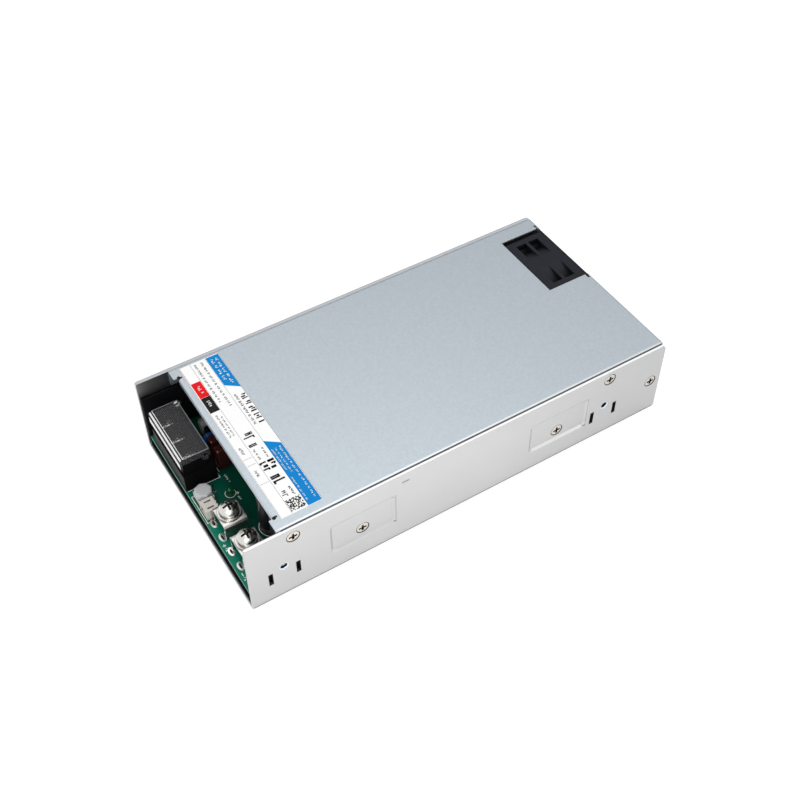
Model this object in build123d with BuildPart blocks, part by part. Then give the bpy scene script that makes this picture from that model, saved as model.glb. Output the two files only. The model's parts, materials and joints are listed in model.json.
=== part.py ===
from build123d import *
import math
import os

# An enclosed switching power supply with a fan, made to be screwed into a machine.
# A folded chassis carries one circuit board. A second folded sheet closes the top and the rear.
# X runs along the case from the wiring end to the fan end, Y across it, and Z up.
# The origin is under the middle of the case, and all sizes are in millimetres.

os.makedirs("parts", exist_ok=True)

# Chassis
case_length = 203.1
case_width = 101.6
case_height = 40.6
sheet = 1.5
inner_bend = 0.6
wall_step = 0.6
front_corner = 1.0
rear_corner = 2.3
floor_setback = 2.4
slot_height = 7.2
slot_width = 2.0
slot_level = 14.8
slot_spacing = 12.2
slot_front = 9.2
slot_rear = 24.8
dash_length = 3.5
dash_width = 1.0
dash_depth = 0.5
dash_place = 70.9

# Recessed panels of the side walls, which the power devices are clamped against
panel_length = 30.0
panel_height = 17.0
panel_depth = 0.8
panel_level = 20.8
panel_bevel = 54.0
panel_corner = 2.0
panel_front = 51.2
panel_rear = 55.5
clamp_level = 17.5

# Mounting holes of the case
side_hole_front = 15.3
side_hole_rear = 30.8
side_hole_level = 19.6
base_hole_inset_x = 26.55
base_hole_inset_y = 25.8
mount_hole_radius = 1.65
collar_wall = 0.9
collar_height = 0.8

# Cover
cover_sheet = 0.8
cover_bend = 0.4
cover_side_gap = 0.1
cover_front = 16.6
ear_front = 14.7
ear_width = 6.2
notch_width = 1.0
lip_height = 3.0
flange_height = 8.4
cover_screw_front = 20.6
cover_screw_rear = 29.8
cover_screw_level = 35.2
rear_panel_foot = 0.6
rear_panel_side = 0.6
rear_panel_relief = 0.1
rear_tab_length = 9.0
rear_tab_height = 12.0
rear_screw_inset = 5.2
rear_screw_level = 20.2
vent_count = 8
vent_pitch = 4.8
vent_width = 2.0
vent_height = 24.0
vent_centre = -24.0
grille_rings = 3
grille_radius = 17.4
grille_slot = 2.8
grille_bar = 1.6
grille_spoke = 2.4
window_width = 37.8
window_shift = 0.3
window_front = 1.2
relief_radius = 0.6
relief_slit = 1.8

# Label
label_length = 18.0
label_width = 92.0
label_thickness = 0.1
label_front = 19.2
label_shift = 1.2

# Screws
flat_head_radius = 2.8
flat_head_dome = 0.2
flat_head_sunk = 0.25
flat_shank_radius = 1.45
flat_screw_length = 6.0
clamp_screw_length = 5.2
recess_width = 1.0
recess_span = 3.5
recess_depth = 1.0
pan_recess_depth = 1.5
pan_rim_share = 0.35
screw_clearance = 0.08

# Fan
fan_size = 38.0
fan_depth = 20.0
fan_centre_y = 21.9
fan_drop = 1.3
fan_gap = 0.3
fan_flange = 4.0
fan_rib = 1.5
fan_post = 4.5
fan_web = 2.0
fan_corner = 2.2
fan_bore_wall = 1.1
fan_barrel_wall = 1.4
fan_hole_inset = 3.0
fan_tip_gap = 0.7
fan_strut_width = 2.6
fan_strut_depth = 2.0
fan_base_radius = 10.0
hub_radius = 10.6
hub_wall = 1.0
hub_chamfer = 0.6
hub_length = 15.0
blade_count = 7
blade_thickness = 0.9
blade_root_chord = 12.0
blade_tip_chord = 16.0
blade_root_pitch = 52.0
blade_tip_pitch = 62.0
axle_radius = 1.0
axle_length = 14.5
bearing_radius = 2.4
bearing_length = 9.0
running_gap = 0.05
stator_gap = 0.8
stator_length = 7.0

# Insulating film and circuit board
film_thickness = 0.4
film_front = 0.6
film_height = 29.5
film_bend = 0.6
board_thickness = 1.6
board_top = 8.0
board_front = 0.8
board_rear = 23.0
board_side_gap = 0.5
spacer_across = 5.5
spacer_columns = (28.0, 100.0, 172.0)
spacer_row = 43.5
board_screw_radius = 1.4
board_head_radius = 2.7
board_head_height = 1.8
board_screw_reach = 3.0

# AC terminal block
pole_count = 3
pole_pitch = 10.0
ac_centre_y = 27.3
ac_front = 1.1
ac_length = 14.8
ac_end_wall = 1.0
ac_base_height = 9.0
ac_deck_height = 10.2
ac_barrier_height = 18.5
ac_barrier_wall = 1.2
ac_upper_inset = 0.25
ac_upper_front = 1.8
ac_upper_length = 10.8
ac_plate_thickness = 0.8
ac_clamp_size = 7.2
ac_clamp_thickness = 1.2
ac_screw_x = 7.6
ac_head_radius = 3.3
ac_head_height = 2.7
ac_shank_radius = 1.7
ac_leg_width = 4.0
ac_floor = 1.0

# Clear hinged cover over the AC terminals
guard_front = 0.8
guard_length = 13.5
guard_width = 31.8
guard_wall = 0.8
guard_top = 28.0
guard_skirt = 6.0
guard_rim = 2.0
guard_corner = 1.0
guard_rib = 2.2
guard_leg_length = 4.2
guard_leg_width = 3.2
guard_pivot = 12.1
guard_pivot_level = 25.6
pivot_radius = 0.7
pivot_end_gap = 0.16
pivot_gap = 0.1

# DC output terminals
dc_front = 4.4
dc_length = 10.6
dc_width = 12.1
dc_height = 8.0
dc_sheet = 1.0
dc_bend = 0.8
dc_positive_y = -13.7
dc_negative_y = -30.1
dc_hole_x = 9.6
dc_shank_radius = 1.95
dc_screw_length = 9.5
dc_head_radius = 4.0
dc_head_height = 3.1
dc_recess_span = 4.8
dc_washer_radius = 5.0
dc_washer_thickness = 1.0
dc_spring_radius = 3.9
dc_spring_thickness = 1.1
dc_spring_split = 0.8
dc_spring_turn = 20.0
dc_nut_size = 7.0
dc_nut_height = 3.0
leg_width = 2.0
leg_reach = 2.4
pad_slot_length = 3.0
pad_slot_width = 1.0
pad_slot_x = 3.5
pad_slot_offset = 4.1

# Trimmer, signal connector and lamp
trimmer_x = 5.9
trimmer_y = 4.0
trimmer_size = 6.8
trimmer_height = 3.4
knob_across = 7.2
knob_height = 2.7
knob_gap = 0.3
knob_stem_radius = 1.2
knob_stem_length = 1.1
knob_dome = 0.9
header_x = 2.0
header_length = 5.8
header_width = 6.9
header_height = 5.5
header_wall = 0.8
header_near_y = -7.1
header_pins = 3
pin_pitch = 1.9
pin_size = 0.6
lamp_x = 16.3
lamp_y = 0.8
lamp_radius = 1.5
lamp_height = 3.6
lamp_dome = 1.4
lamp_flange = 0.4
lamp_flange_height = 1.0

# Parts with leads, each with its places along and across the board
lead_radius = 0.4
seat_gap = 0.3
part_lift = 1.2
disc_rounding = 0.9
box_rounding = 0.5
varistor_places = ((48.0, 34.0),)
varistor_radius = 7.0
varistor_thickness = 4.5
thermistor_places = ((64.5, 32.5),)
thermistor_radius = 5.0
thermistor_thickness = 4.0
safety_places = ((20.6, 28.5), (89.5, 38.0), (97.5, 38.0))
safety_radius = 3.4
safety_thickness = 3.0
dipped_places = ((22.1, 23.0), (22.1, 16.8))
dipped_size = (8.5, 4.4, 11.5)
dipped_rounding = 1.2
line_capacitor_places = ((33.5, 21.0),)
line_capacitor_size = (10.0, 18.0, 15.0)
relay_places = ((77.0, 41.5),)
relay_size = (15.0, 9.0, 15.5)
bridge_places = ((93.0, 24.0),)
bridge_size = (4.6, 21.0, 18.0)

# Fuse in its clips
fuse_x = 30.0
fuse_y = 36.5
fuse_length = 20.0
fuse_radius = 2.6
fuse_cap_length = 5.0
fuse_cap_step = 0.3
fuse_lift = 5.2
clip_wall = 0.5
clip_length = 4.0
clip_height = 7.5

# Ring chokes of the mains filter, standing, and the output choke, lying
choke_xs = (51.0, 77.0)
choke_y = 23.0
choke_radius = 10.0
choke_bore = 5.5
choke_thickness = 7.0
winding_thickness = 1.3
winding_sweep = 140.0
output_choke_x = 67.0
output_choke_y = -26.0
output_choke_radius = 11.5
output_choke_bore = 6.0
output_choke_height = 9.0

# Wound cores: middle of each, then the core's length, depth and height
transformer_place = (106.0, -5.0)
transformer_size = (34.0, 14.0, 28.0)
boost_place = (110.0, 22.0)
boost_size = (26.0, 12.0, 24.0)
auxiliary_place = (76.0, 0.0)
auxiliary_size = (20.0, 9.0, 17.0)
core_yoke_share = 7.0
core_leg_share = 6.0
bobbin_wall = 0.9

# Electrolytic cans
bulk_places = ((134.0, 23.0), (158.0, 23.0))
bulk_radius = 11.0
bulk_height = 29.5
output_can_radius = 5.0
output_can_height = 21.0
output_can_x = 23.5
output_can_y = -23.2
output_can_pitch = 11.2
output_can_columns = 3
output_can_rows = 2
can_chamfer = 0.6
can_groove = 0.6
can_groove_level = 2.6

# Heat spreaders on the walls, the finned heatsink and the power devices
spreader_length = 26.0
spreader_thickness = 4.0
spreader_height = 16.0
spreader_level = 17.5
heatsink_x = 108.0
heatsink_y = -23.0
heatsink_length = 42.0
heatsink_base = 3.0
heatsink_height = 24.0
fin_count = 6
fin_length = 12.5
fin_thickness = 1.5
device_width = 10.0
device_height = 14.5
device_body = 9.0
device_thickness = 4.4
tab_thickness = 1.3
device_pitch = 12.5

# Control board standing on the main board
control_board_x = 45.0
control_board_y = -11.5
control_board_length = 26.0
control_board_height = 20.0
control_board_thickness = 1.2
chip_length = 6.0
chip_height = 5.0
chip_thickness = 1.5
chip_pitch = 8.5

# Places worked out from the sizes above
front_x = -case_length / 2
rear_x = case_length / 2
half_width = case_width / 2
inner_half = half_width - sheet
wall_top = case_height - wall_step
cover_top = case_height - label_thickness
cover_half = inner_half - cover_side_gap
panel_xs = (front_x + panel_front, rear_x - panel_rear)
side_hole_xs = (front_x + side_hole_front, rear_x - side_hole_rear)
base_hole_spacing = (case_length - 2 * base_hole_inset_x, case_width - 2 * base_hole_inset_y)
cover_screw_xs = (front_x + cover_screw_front, rear_x - cover_screw_rear)
rear_screw_x = rear_x - rear_screw_inset
film_half = inner_half - panel_depth
film_inner = film_half - film_thickness
film_end = rear_x - board_rear
board_half = film_inner - board_side_gap
board_length = case_length - board_front - board_rear
board_bottom = board_top - board_thickness
fan_rear_x = rear_x - cover_sheet
fan_front_x = fan_rear_x - fan_depth
fan_centre_z = cover_top - fan_drop - fan_size / 2
fan_bore_radius = fan_size / 2 - fan_bore_wall
fan_barrel_radius = fan_bore_radius + fan_barrel_wall
fan_hole_spacing = fan_size - 2 * fan_hole_inset
fan_plane = Plane(origin=(0, fan_centre_y, fan_centre_z), x_dir=(0, 1, 0), z_dir=(1, 0, 0))
ac_width = pole_count * pole_pitch + 2 * ac_end_wall
ac_upper_half = pole_count * pole_pitch / 2 - ac_upper_inset
pole_ys = [ac_centre_y + pole_pitch * (i - (pole_count - 1) / 2) for i in range(pole_count)]
terminal_ys = (dc_positive_y, dc_negative_y)
plate_top = board_top + dc_height
sides = (-1, 1)
centre_min = (Align.CENTER, Align.CENTER, Align.MIN)


def wall_place(x, z, side, depth=0.0):
    """A place on a side wall whose Z axis points out of the case."""
    return Location((x, side * (half_width - depth), z), (-90 * side, 0, 0))


def inward_plane(side, y):
    """A plane across the case at y, with X along the case and its normal towards the middle."""
    return Plane(origin=(0, side * y, 0), x_dir=(1, 0, 0), z_dir=(0, -side, 0))


def bent_channel(width, height, thickness, bend):
    """The section of a sheet folded into a U, its closed side on the local X axis."""
    with Locations((0, height)):
        RectangleRounded(width, 2 * height, bend + thickness)
    with Locations((0, height + thickness)):
        RectangleRounded(width - 2 * thickness, 2 * height, bend, mode=Mode.SUBTRACT)
    with Locations((0, height)):
        Rectangle(width, 2 * height, align=(Align.CENTER, Align.MIN), mode=Mode.SUBTRACT)


def fold_section(flat_x, fold_x, low, high, thickness, bend):
    """The section of a sheet that runs level from flat_x and is folded down at fold_x."""
    towards = math.copysign(1, fold_x - flat_x)
    corner = (Align.MIN if towards > 0 else Align.MAX, Align.MIN)
    run = abs(fold_x - flat_x)
    with BuildSketch() as section:
        with Locations((flat_x, low)):
            Rectangle(run, high - low, align=corner)
            outer = section.vertices().sort_by_distance((fold_x, high))[0]
            fillet(outer, bend + thickness)
            Rectangle(run - thickness, high - low - thickness, align=corner, mode=Mode.SUBTRACT)
        hollow = (fold_x - towards * thickness, high - thickness)
        fillet(section.vertices().sort_by_distance(hollow)[0], bend)
    return section.sketch


def cross_recess(level, span):
    """The driver's cross, at the level of a screw head's top."""
    with BuildSketch(Plane.XY.offset(level)) as cross:
        Rectangle(span, recess_width)
        Rectangle(recess_width, span)
    return cross.sketch


def flat_screw(length):
    """A countersunk screw with the rim of its head at the origin's level and its point down."""
    cone = flat_head_radius - flat_shank_radius
    with BuildPart() as screw:
        with BuildSketch(Plane.XZ):
            with BuildLine():
                TangentArc((0, flat_head_dome), (flat_head_radius, 0), tangent=(1, 0))
                Polyline((flat_head_radius, 0), (flat_shank_radius, -cone), (flat_shank_radius, -length),
                         (0, -length), (0, flat_head_dome))
            make_face()
        revolve(axis=Axis.Z)
        recess = cross_recess(flat_head_dome, recess_span)
        extrude(recess, amount=-recess_depth, mode=Mode.SUBTRACT)
    return screw.part


def pan_screw(head_radius, head_height, shank_radius, length, span):
    """A pan head screw that seats on the origin's level, with its point down."""
    with BuildPart() as screw:
        with BuildSketch(Plane.XZ):
            with BuildLine():
                TangentArc((0, head_height), (head_radius, head_height * pan_rim_share), tangent=(1, 0))
                Polyline((head_radius, head_height * pan_rim_share), (head_radius, 0), (shank_radius, 0),
                         (shank_radius, -length), (0, -length), (0, head_height))
            make_face()
        revolve(axis=Axis.Z)
        extrude(cross_recess(head_height, span), amount=-pan_recess_depth, mode=Mode.SUBTRACT)
    return screw.part


def make_chassis():
    """The folded floor and side walls."""
    with BuildPart() as chassis:
        with BuildSketch(Plane.YZ.offset(front_x)):
            bent_channel(case_width, wall_top, sheet, inner_bend)
        extrude(amount=case_length)
        with BuildSketch(Plane.XZ) as outline:
            with Locations((0, wall_top / 2)):
                Rectangle(case_length, wall_top)
            fillet(outline.vertices().group_by(Axis.X)[-1], rear_corner)
            fillet(outline.vertices().group_by(Axis.X)[0].sort_by(Axis.Y)[-1], front_corner)
        extrude(amount=half_width, both=True, mode=Mode.INTERSECT)

        # The floor stops short of the rear panel and is open under the fan
        with BuildSketch(Plane.XY):
            with Locations((rear_x, 0)):
                Rectangle(2 * floor_setback, 2 * inner_half)
            with Locations((fan_rear_x, fan_centre_y)):
                Rectangle(2 * (fan_depth + fan_gap), fan_size + 2 * fan_gap)
        extrude(amount=sheet + inner_bend, mode=Mode.SUBTRACT)

        # Slots through both walls
        with BuildSketch(Plane.XZ):
            slot_xs = [front_x + slot_front, front_x + slot_front + slot_spacing,
                       rear_x - slot_rear - slot_spacing, rear_x - slot_rear]
            with Locations(*[(x, slot_level) for x in slot_xs]):
                Rectangle(slot_width, slot_height)
        extrude(amount=half_width, both=True, mode=Mode.SUBTRACT)

        # Panels pressed inwards, a short groove, and collars drawn inwards for the tapped holes
        collar_radius = mount_hole_radius + collar_wall
        for side in sides:
            panel_places = [(x, side * panel_level) for x in panel_xs]
            with BuildSketch(inward_plane(side, inner_half)):
                with Locations(*panel_places):
                    RectangleRounded(panel_length, panel_height, panel_corner)
            extrude(amount=panel_depth, taper=panel_bevel)
            with BuildSketch(inward_plane(side, half_width)):
                with Locations(*panel_places):
                    RectangleRounded(panel_length, panel_height, panel_corner)
            extrude(amount=panel_depth, taper=panel_bevel, mode=Mode.SUBTRACT)
            with BuildSketch(inward_plane(side, half_width)):
                with Locations((front_x + dash_place, side * cover_screw_level)):
                    SlotOverall(dash_length, dash_width)
            extrude(amount=dash_depth, mode=Mode.SUBTRACT)
            with BuildSketch(inward_plane(side, inner_half)):
                with Locations(*[(x, side * side_hole_level) for x in side_hole_xs]):
                    Circle(collar_radius)
            extrude(amount=collar_height)
        with BuildSketch(Plane.XY.offset(sheet)):
            with GridLocations(*base_hole_spacing, 2, 2):
                Circle(collar_radius)
        extrude(amount=collar_height)
        with BuildSketch(Plane.XZ):
            with Locations(*[(x, side_hole_level) for x in side_hole_xs]):
                Circle(mount_hole_radius)
        extrude(amount=half_width, both=True, mode=Mode.SUBTRACT)
        with BuildSketch(Plane.XY):
            with GridLocations(*base_hole_spacing, 2, 2):
                Circle(mount_hole_radius)
        extrude(amount=sheet + collar_height, mode=Mode.SUBTRACT)

        # Countersinks for the cover's screws and the clamping screws
        hole = flat_shank_radius + screw_clearance
        sink = flat_head_radius + flat_head_sunk + screw_clearance
        for side in sides:
            places = [wall_place(x, cover_screw_level, side) for x in cover_screw_xs]
            places += [wall_place(rear_screw_x, rear_screw_level, side)]
            places += [wall_place(x, clamp_level, side, panel_depth) for x in panel_xs]
            with Locations(*places):
                CounterSinkHole(hole, sink, depth=sheet + panel_depth, counter_sink_angle=90)
    chassis.part.label = "chassis"
    export_step(chassis.part, "parts/chassis.step")


def make_top_cover():
    """The folded sheet that closes the top and the rear, with the fan's grille."""
    above = Plane(origin=(front_x + ear_front, 0, cover_top), x_dir=(0, -1, 0), z_dir=(1, 0, 0))
    ear_inner = cover_half - ear_width
    flat_end = rear_x - cover_bend - cover_sheet - rear_panel_relief
    with BuildPart() as cover:
        with BuildSketch(above):
            bent_channel(2 * cover_half, flange_height, cover_sheet, cover_bend)
        extrude(amount=flat_end - front_x - ear_front)

        # The front is cut back between two ears, with a relief notch beside each
        with BuildSketch(Plane.XY.offset(cover_top)):
            with Locations((front_x + cover_front, 0)):
                Rectangle(2 * (cover_front - ear_front), 2 * ear_inner)
        extrude(amount=-cover_sheet, mode=Mode.SUBTRACT)
        lip_half = ear_inner - notch_width
        with BuildSketch(Plane.XZ):
            add(fold_section(front_x + 2 * cover_front - ear_front, front_x + cover_front,
                             cover_top - lip_height, cover_top, cover_sheet, cover_bend))
        extrude(amount=lip_half, both=True)

        # Rear panel, narrower than the top, with a folded tab at each side
        with BuildSketch(Plane.XZ):
            add(fold_section(flat_end, rear_x, rear_panel_foot, cover_top, cover_sheet, cover_bend))
        extrude(amount=cover_half - rear_panel_side, both=True)
        with BuildSketch(Plane.YZ.offset(fan_rear_x)):
            with Locations((0, rear_screw_level)):
                Rectangle(2 * cover_half, rear_tab_height)
        extrude(amount=cover_sheet)
        for side in sides:
            with BuildSketch(inward_plane(side, cover_half)):
                with Locations((rear_x - rear_tab_length / 2, side * rear_screw_level)):
                    Rectangle(rear_tab_length, rear_tab_height)
            extrude(amount=cover_sheet)

        # The top and the rear bend are cut away round the fan
        window_start = fan_front_x - window_front
        window_y = fan_centre_y + window_shift
        with BuildSketch(Plane.XY.offset(cover_top)):
            with Locations(((window_start + rear_x) / 2, window_y)):
                Rectangle(rear_x - window_start, window_width)
            slit_x = fan_rear_x - cover_sheet
            slit_half = window_width / 2 + relief_slit
            with Locations((slit_x, window_y)):
                Rectangle(relief_radius, 2 * slit_half)
                with GridLocations(0, 2 * slit_half, 1, 2):
                    Circle(relief_radius)
        extrude(amount=-(cover_bend + cover_sheet), mode=Mode.SUBTRACT)

        # Rear face: ring slots in front of the fan and upright slots beside it
        with BuildSketch(Plane.YZ.offset(fan_rear_x)):
            with Locations((fan_centre_y, fan_centre_z)):
                for ring in range(grille_rings):
                    outer = grille_radius - ring * (grille_slot + grille_bar)
                    Circle(outer)
                    Circle(outer - grille_slot, mode=Mode.SUBTRACT)
                for turn in (45, -45):
                    Rectangle(2 * fan_size, grille_spoke, rotation=turn, mode=Mode.SUBTRACT)
            with Locations((vent_centre, fan_centre_z)):
                with GridLocations(vent_pitch, 0, vent_count, 1):
                    SlotOverall(vent_height, vent_width, rotation=90)
        extrude(amount=cover_sheet, mode=Mode.SUBTRACT)

        # Screw holes in the flanges, the tabs and the rear panel
        hole = flat_shank_radius + screw_clearance
        with BuildSketch(Plane.XZ):
            with Locations(*[(x, cover_screw_level) for x in cover_screw_xs]):
                Circle(hole)
            with Locations((rear_screw_x, rear_screw_level)):
                Circle(hole)
        extrude(amount=half_width, both=True, mode=Mode.SUBTRACT)
        with BuildSketch(Plane.YZ.offset(fan_rear_x)):
            with Locations((fan_centre_y, fan_centre_z)):
                with GridLocations(fan_hole_spacing, fan_hole_spacing, 2, 2):
                    Circle(flat_head_radius + screw_clearance)
        extrude(amount=cover_sheet, mode=Mode.SUBTRACT)
    cover.part.label = "top_cover"
    export_step(cover.part, "parts/top_cover.step")


def make_rating_label():
    """The thin label stuck on the cover."""
    with BuildPart() as label:
        with BuildSketch(Plane.XY.offset(cover_top)):
            with Locations((front_x + label_front + label_length / 2, label_shift)):
                Rectangle(label_length, label_width)
        extrude(amount=label_thickness)
    label.part.label = "rating_label"
    export_step(label.part, "parts/rating_label.step")


def make_case_screws():
    """Screws of the cover and of the clamped power devices, each set in one node."""
    with BuildPart() as cover_screws:
        for side in sides:
            places = [wall_place(x, cover_screw_level, side, flat_head_sunk) for x in cover_screw_xs]
            with Locations(*places, wall_place(rear_screw_x, rear_screw_level, side, flat_head_sunk)):
                add(flat_screw(flat_screw_length))
    cover_screws.part.label = "cover_screws"
    export_step(cover_screws.part, "parts/cover_screws.step")

    with BuildPart() as clamp_screws:
        for side in sides:
            depth = panel_depth + flat_head_sunk
            with Locations(*[wall_place(x, clamp_level, side, depth) for x in panel_xs]):
                add(flat_screw(clamp_screw_length))
    clamp_screws.part.label = "clamp_screws"
    export_step(clamp_screws.part, "parts/clamp_screws.step")


def make_insulation_sheet():
    """The film between the board and the chassis, folded up inside both walls."""
    start = front_x + film_front
    with BuildPart() as film:
        channel = Plane(origin=(start, 0, sheet), x_dir=(0, 1, 0), z_dir=(1, 0, 0))
        with BuildSketch(channel):
            bent_channel(2 * film_half, film_height, film_thickness, film_bend)
        extrude(amount=film_end - start)
        clear = mount_hole_radius + collar_wall + screw_clearance
        with BuildSketch(Plane.XY.offset(sheet)):
            with GridLocations(*base_hole_spacing, 2, 2):
                Circle(clear)
            with Locations(*spacer_places()):
                Circle(spacer_across / math.sqrt(3) + screw_clearance)
        extrude(amount=film_thickness, mode=Mode.SUBTRACT)
        with BuildSketch(Plane.XZ):
            with Locations(*[(x, side_hole_level) for x in side_hole_xs]):
                Circle(clear)
            with Locations(*[(x, clamp_level) for x in panel_xs]):
                Circle(flat_shank_radius + screw_clearance)
        extrude(amount=half_width, both=True, mode=Mode.SUBTRACT)
    film.part.label = "insulation_sheet"
    export_step(film.part, "parts/insulation_sheet.step")


def spacer_places():
    """Where the board is screwed down."""
    return [(front_x + x, side * spacer_row) for x in spacer_columns for side in sides]


def spot(x, y, z=board_top):
    """A place on the board, x counted from the front edge of the case."""
    return (front_x + x, y, z)


def make_circuit_board():
    """The board, its spacers and their screws."""
    with BuildPart() as board:
        with BuildSketch(Plane.XY.offset(board_bottom)):
            with Locations((front_x + board_front + board_length / 2, 0)):
                Rectangle(board_length, 2 * board_half)
            with Locations(*spacer_places()):
                Circle(board_screw_radius + screw_clearance, mode=Mode.SUBTRACT)
            slot_ys = [y + offset for y in terminal_ys for offset in (-pad_slot_offset, pad_slot_offset)]
            with Locations(*[(front_x + pad_slot_x, y) for y in slot_ys]):
                SlotOverall(pad_slot_length, pad_slot_width, rotation=90, mode=Mode.SUBTRACT)
            with Locations(*dc_leg_places()):
                Rectangle(leg_width + 2 * screw_clearance, dc_sheet + 2 * screw_clearance,
                          mode=Mode.SUBTRACT)
            with Locations(*ac_leg_places()):
                Rectangle(ac_plate_thickness + 2 * screw_clearance, ac_leg_width + 2 * screw_clearance,
                          mode=Mode.SUBTRACT)
        extrude(amount=board_thickness)
    board.part.label = "circuit_board"
    export_step(board.part, "parts/circuit_board.step")

    with BuildPart() as spacers:
        with BuildSketch(Plane.XY.offset(sheet)):
            with Locations(*spacer_places()):
                RegularPolygon(spacer_across / 2, 6, major_radius=False)
                Circle(board_screw_radius + screw_clearance, mode=Mode.SUBTRACT)
        extrude(amount=board_bottom - sheet)
    spacers.part.label = "board_spacers"
    export_step(spacers.part, "parts/board_spacers.step")

    screw = pan_screw(board_head_radius, board_head_height, board_screw_radius,
                      board_thickness + board_screw_reach, recess_span)
    with BuildPart() as screws:
        with Locations(*[(x, y, board_top) for x, y in spacer_places()]):
            add(screw)
    screws.part.label = "board_screws"
    export_step(screws.part, "parts/board_screws.step")


def dc_leg_places():
    """Where the legs of the output terminals pass through the board."""
    wall = dc_width / 2 - dc_sheet / 2
    steps = (leg_width, dc_length - leg_width)
    return [(front_x + dc_front + step, y + side * wall)
            for y in terminal_ys for step in steps for side in sides]


def ac_leg_places():
    """Where the legs of the AC contacts pass through the block's base and the board."""
    leg_x = front_x + ac_screw_x + (ac_clamp_size - ac_plate_thickness) / 2
    return [(leg_x, y) for y in pole_ys]


def make_ac_terminal_block():
    """The moulded block: a stepped base, barriers between the poles and a pivot at each end."""
    deck_x = front_x + ac_upper_front + ac_upper_length / 2
    deck_top = board_top + ac_deck_height
    barrier_top = board_top + ac_barrier_height
    with BuildPart() as block:
        with BuildSketch(Plane.XY.offset(board_top)):
            with Locations((front_x + ac_front + ac_length / 2, ac_centre_y)):
                Rectangle(ac_length, ac_width)
        extrude(amount=ac_base_height)
        with BuildSketch(Plane.XY.offset(board_top + ac_base_height)):
            with Locations((deck_x, ac_centre_y)):
                Rectangle(ac_upper_length, 2 * ac_upper_half)
        extrude(amount=barrier_top - board_top - ac_base_height)

        # Each pole is a bay that is open at the front and the top
        bay_depth = ac_upper_length - ac_barrier_wall
        with BuildSketch(Plane.XY.offset(deck_top)):
            with Locations(*[(front_x + ac_upper_front + bay_depth / 2, y) for y in pole_ys]):
                Rectangle(bay_depth, pole_pitch - ac_barrier_wall)
        extrude(amount=barrier_top - deck_top, mode=Mode.SUBTRACT)

        # A lead-in under each bay, the screw holes and the slots of the contact legs
        with BuildSketch(Plane.XY.offset(deck_top)):
            with Locations(*[(front_x + ac_screw_x, y) for y in pole_ys]):
                Circle(ac_shank_radius + screw_clearance)
            with Locations(*ac_leg_places()):
                Rectangle(ac_plate_thickness + 2 * screw_clearance, ac_leg_width + 2 * screw_clearance)
        extrude(amount=board_top - deck_top, mode=Mode.SUBTRACT)

        # Pivot stubs for the clear cover
        pivot_length = guard_width / 2 - pivot_end_gap - ac_upper_half
        for side in sides:
            with BuildSketch(inward_plane(1, ac_centre_y + side * ac_upper_half)):
                with Locations((front_x + guard_pivot, guard_pivot_level)):
                    Circle(pivot_radius)
            extrude(amount=-side * pivot_length)
    block.part.label = "ac_terminal_block"
    export_step(block.part, "parts/ac_terminal_block.step")

    with BuildPart() as contacts:
        with BuildSketch(Plane.XY.offset(deck_top)):
            with Locations(*[(front_x + ac_screw_x, y) for y in pole_ys]):
                Rectangle(ac_clamp_size, ac_clamp_size)
                Circle(ac_shank_radius + screw_clearance, mode=Mode.SUBTRACT)
        extrude(amount=ac_plate_thickness)
        with BuildSketch(Plane.XY.offset(deck_top)):
            with Locations(*ac_leg_places()):
                Rectangle(ac_plate_thickness, ac_leg_width)
        extrude(amount=board_bottom - leg_reach / 2 - deck_top)
    contacts.part.label = "ac_contacts"
    export_step(contacts.part, "parts/ac_contacts.step")

    clamp_level = deck_top + ac_plate_thickness
    with BuildPart() as clamps:
        with BuildSketch(Plane.XY.offset(clamp_level)):
            with Locations(*[(front_x + ac_screw_x, y) for y in pole_ys]):
                RectangleRounded(ac_clamp_size, ac_clamp_size, ac_plate_thickness)
                Circle(ac_shank_radius + screw_clearance, mode=Mode.SUBTRACT)
        extrude(amount=ac_clamp_thickness)
    clamps.part.label = "ac_clamp_plates"
    export_step(clamps.part, "parts/ac_clamp_plates.step")

    seat = clamp_level + ac_clamp_thickness
    reach = seat - board_top - ac_floor
    screw = pan_screw(ac_head_radius, ac_head_height, ac_shank_radius, reach, recess_span)
    with BuildPart() as screws:
        with Locations(*[spot(ac_screw_x, y, seat) for y in pole_ys]):
            add(screw)
    screws.part.label = "ac_terminal_screws"
    export_step(screws.part, "parts/ac_terminal_screws.step")


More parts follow.
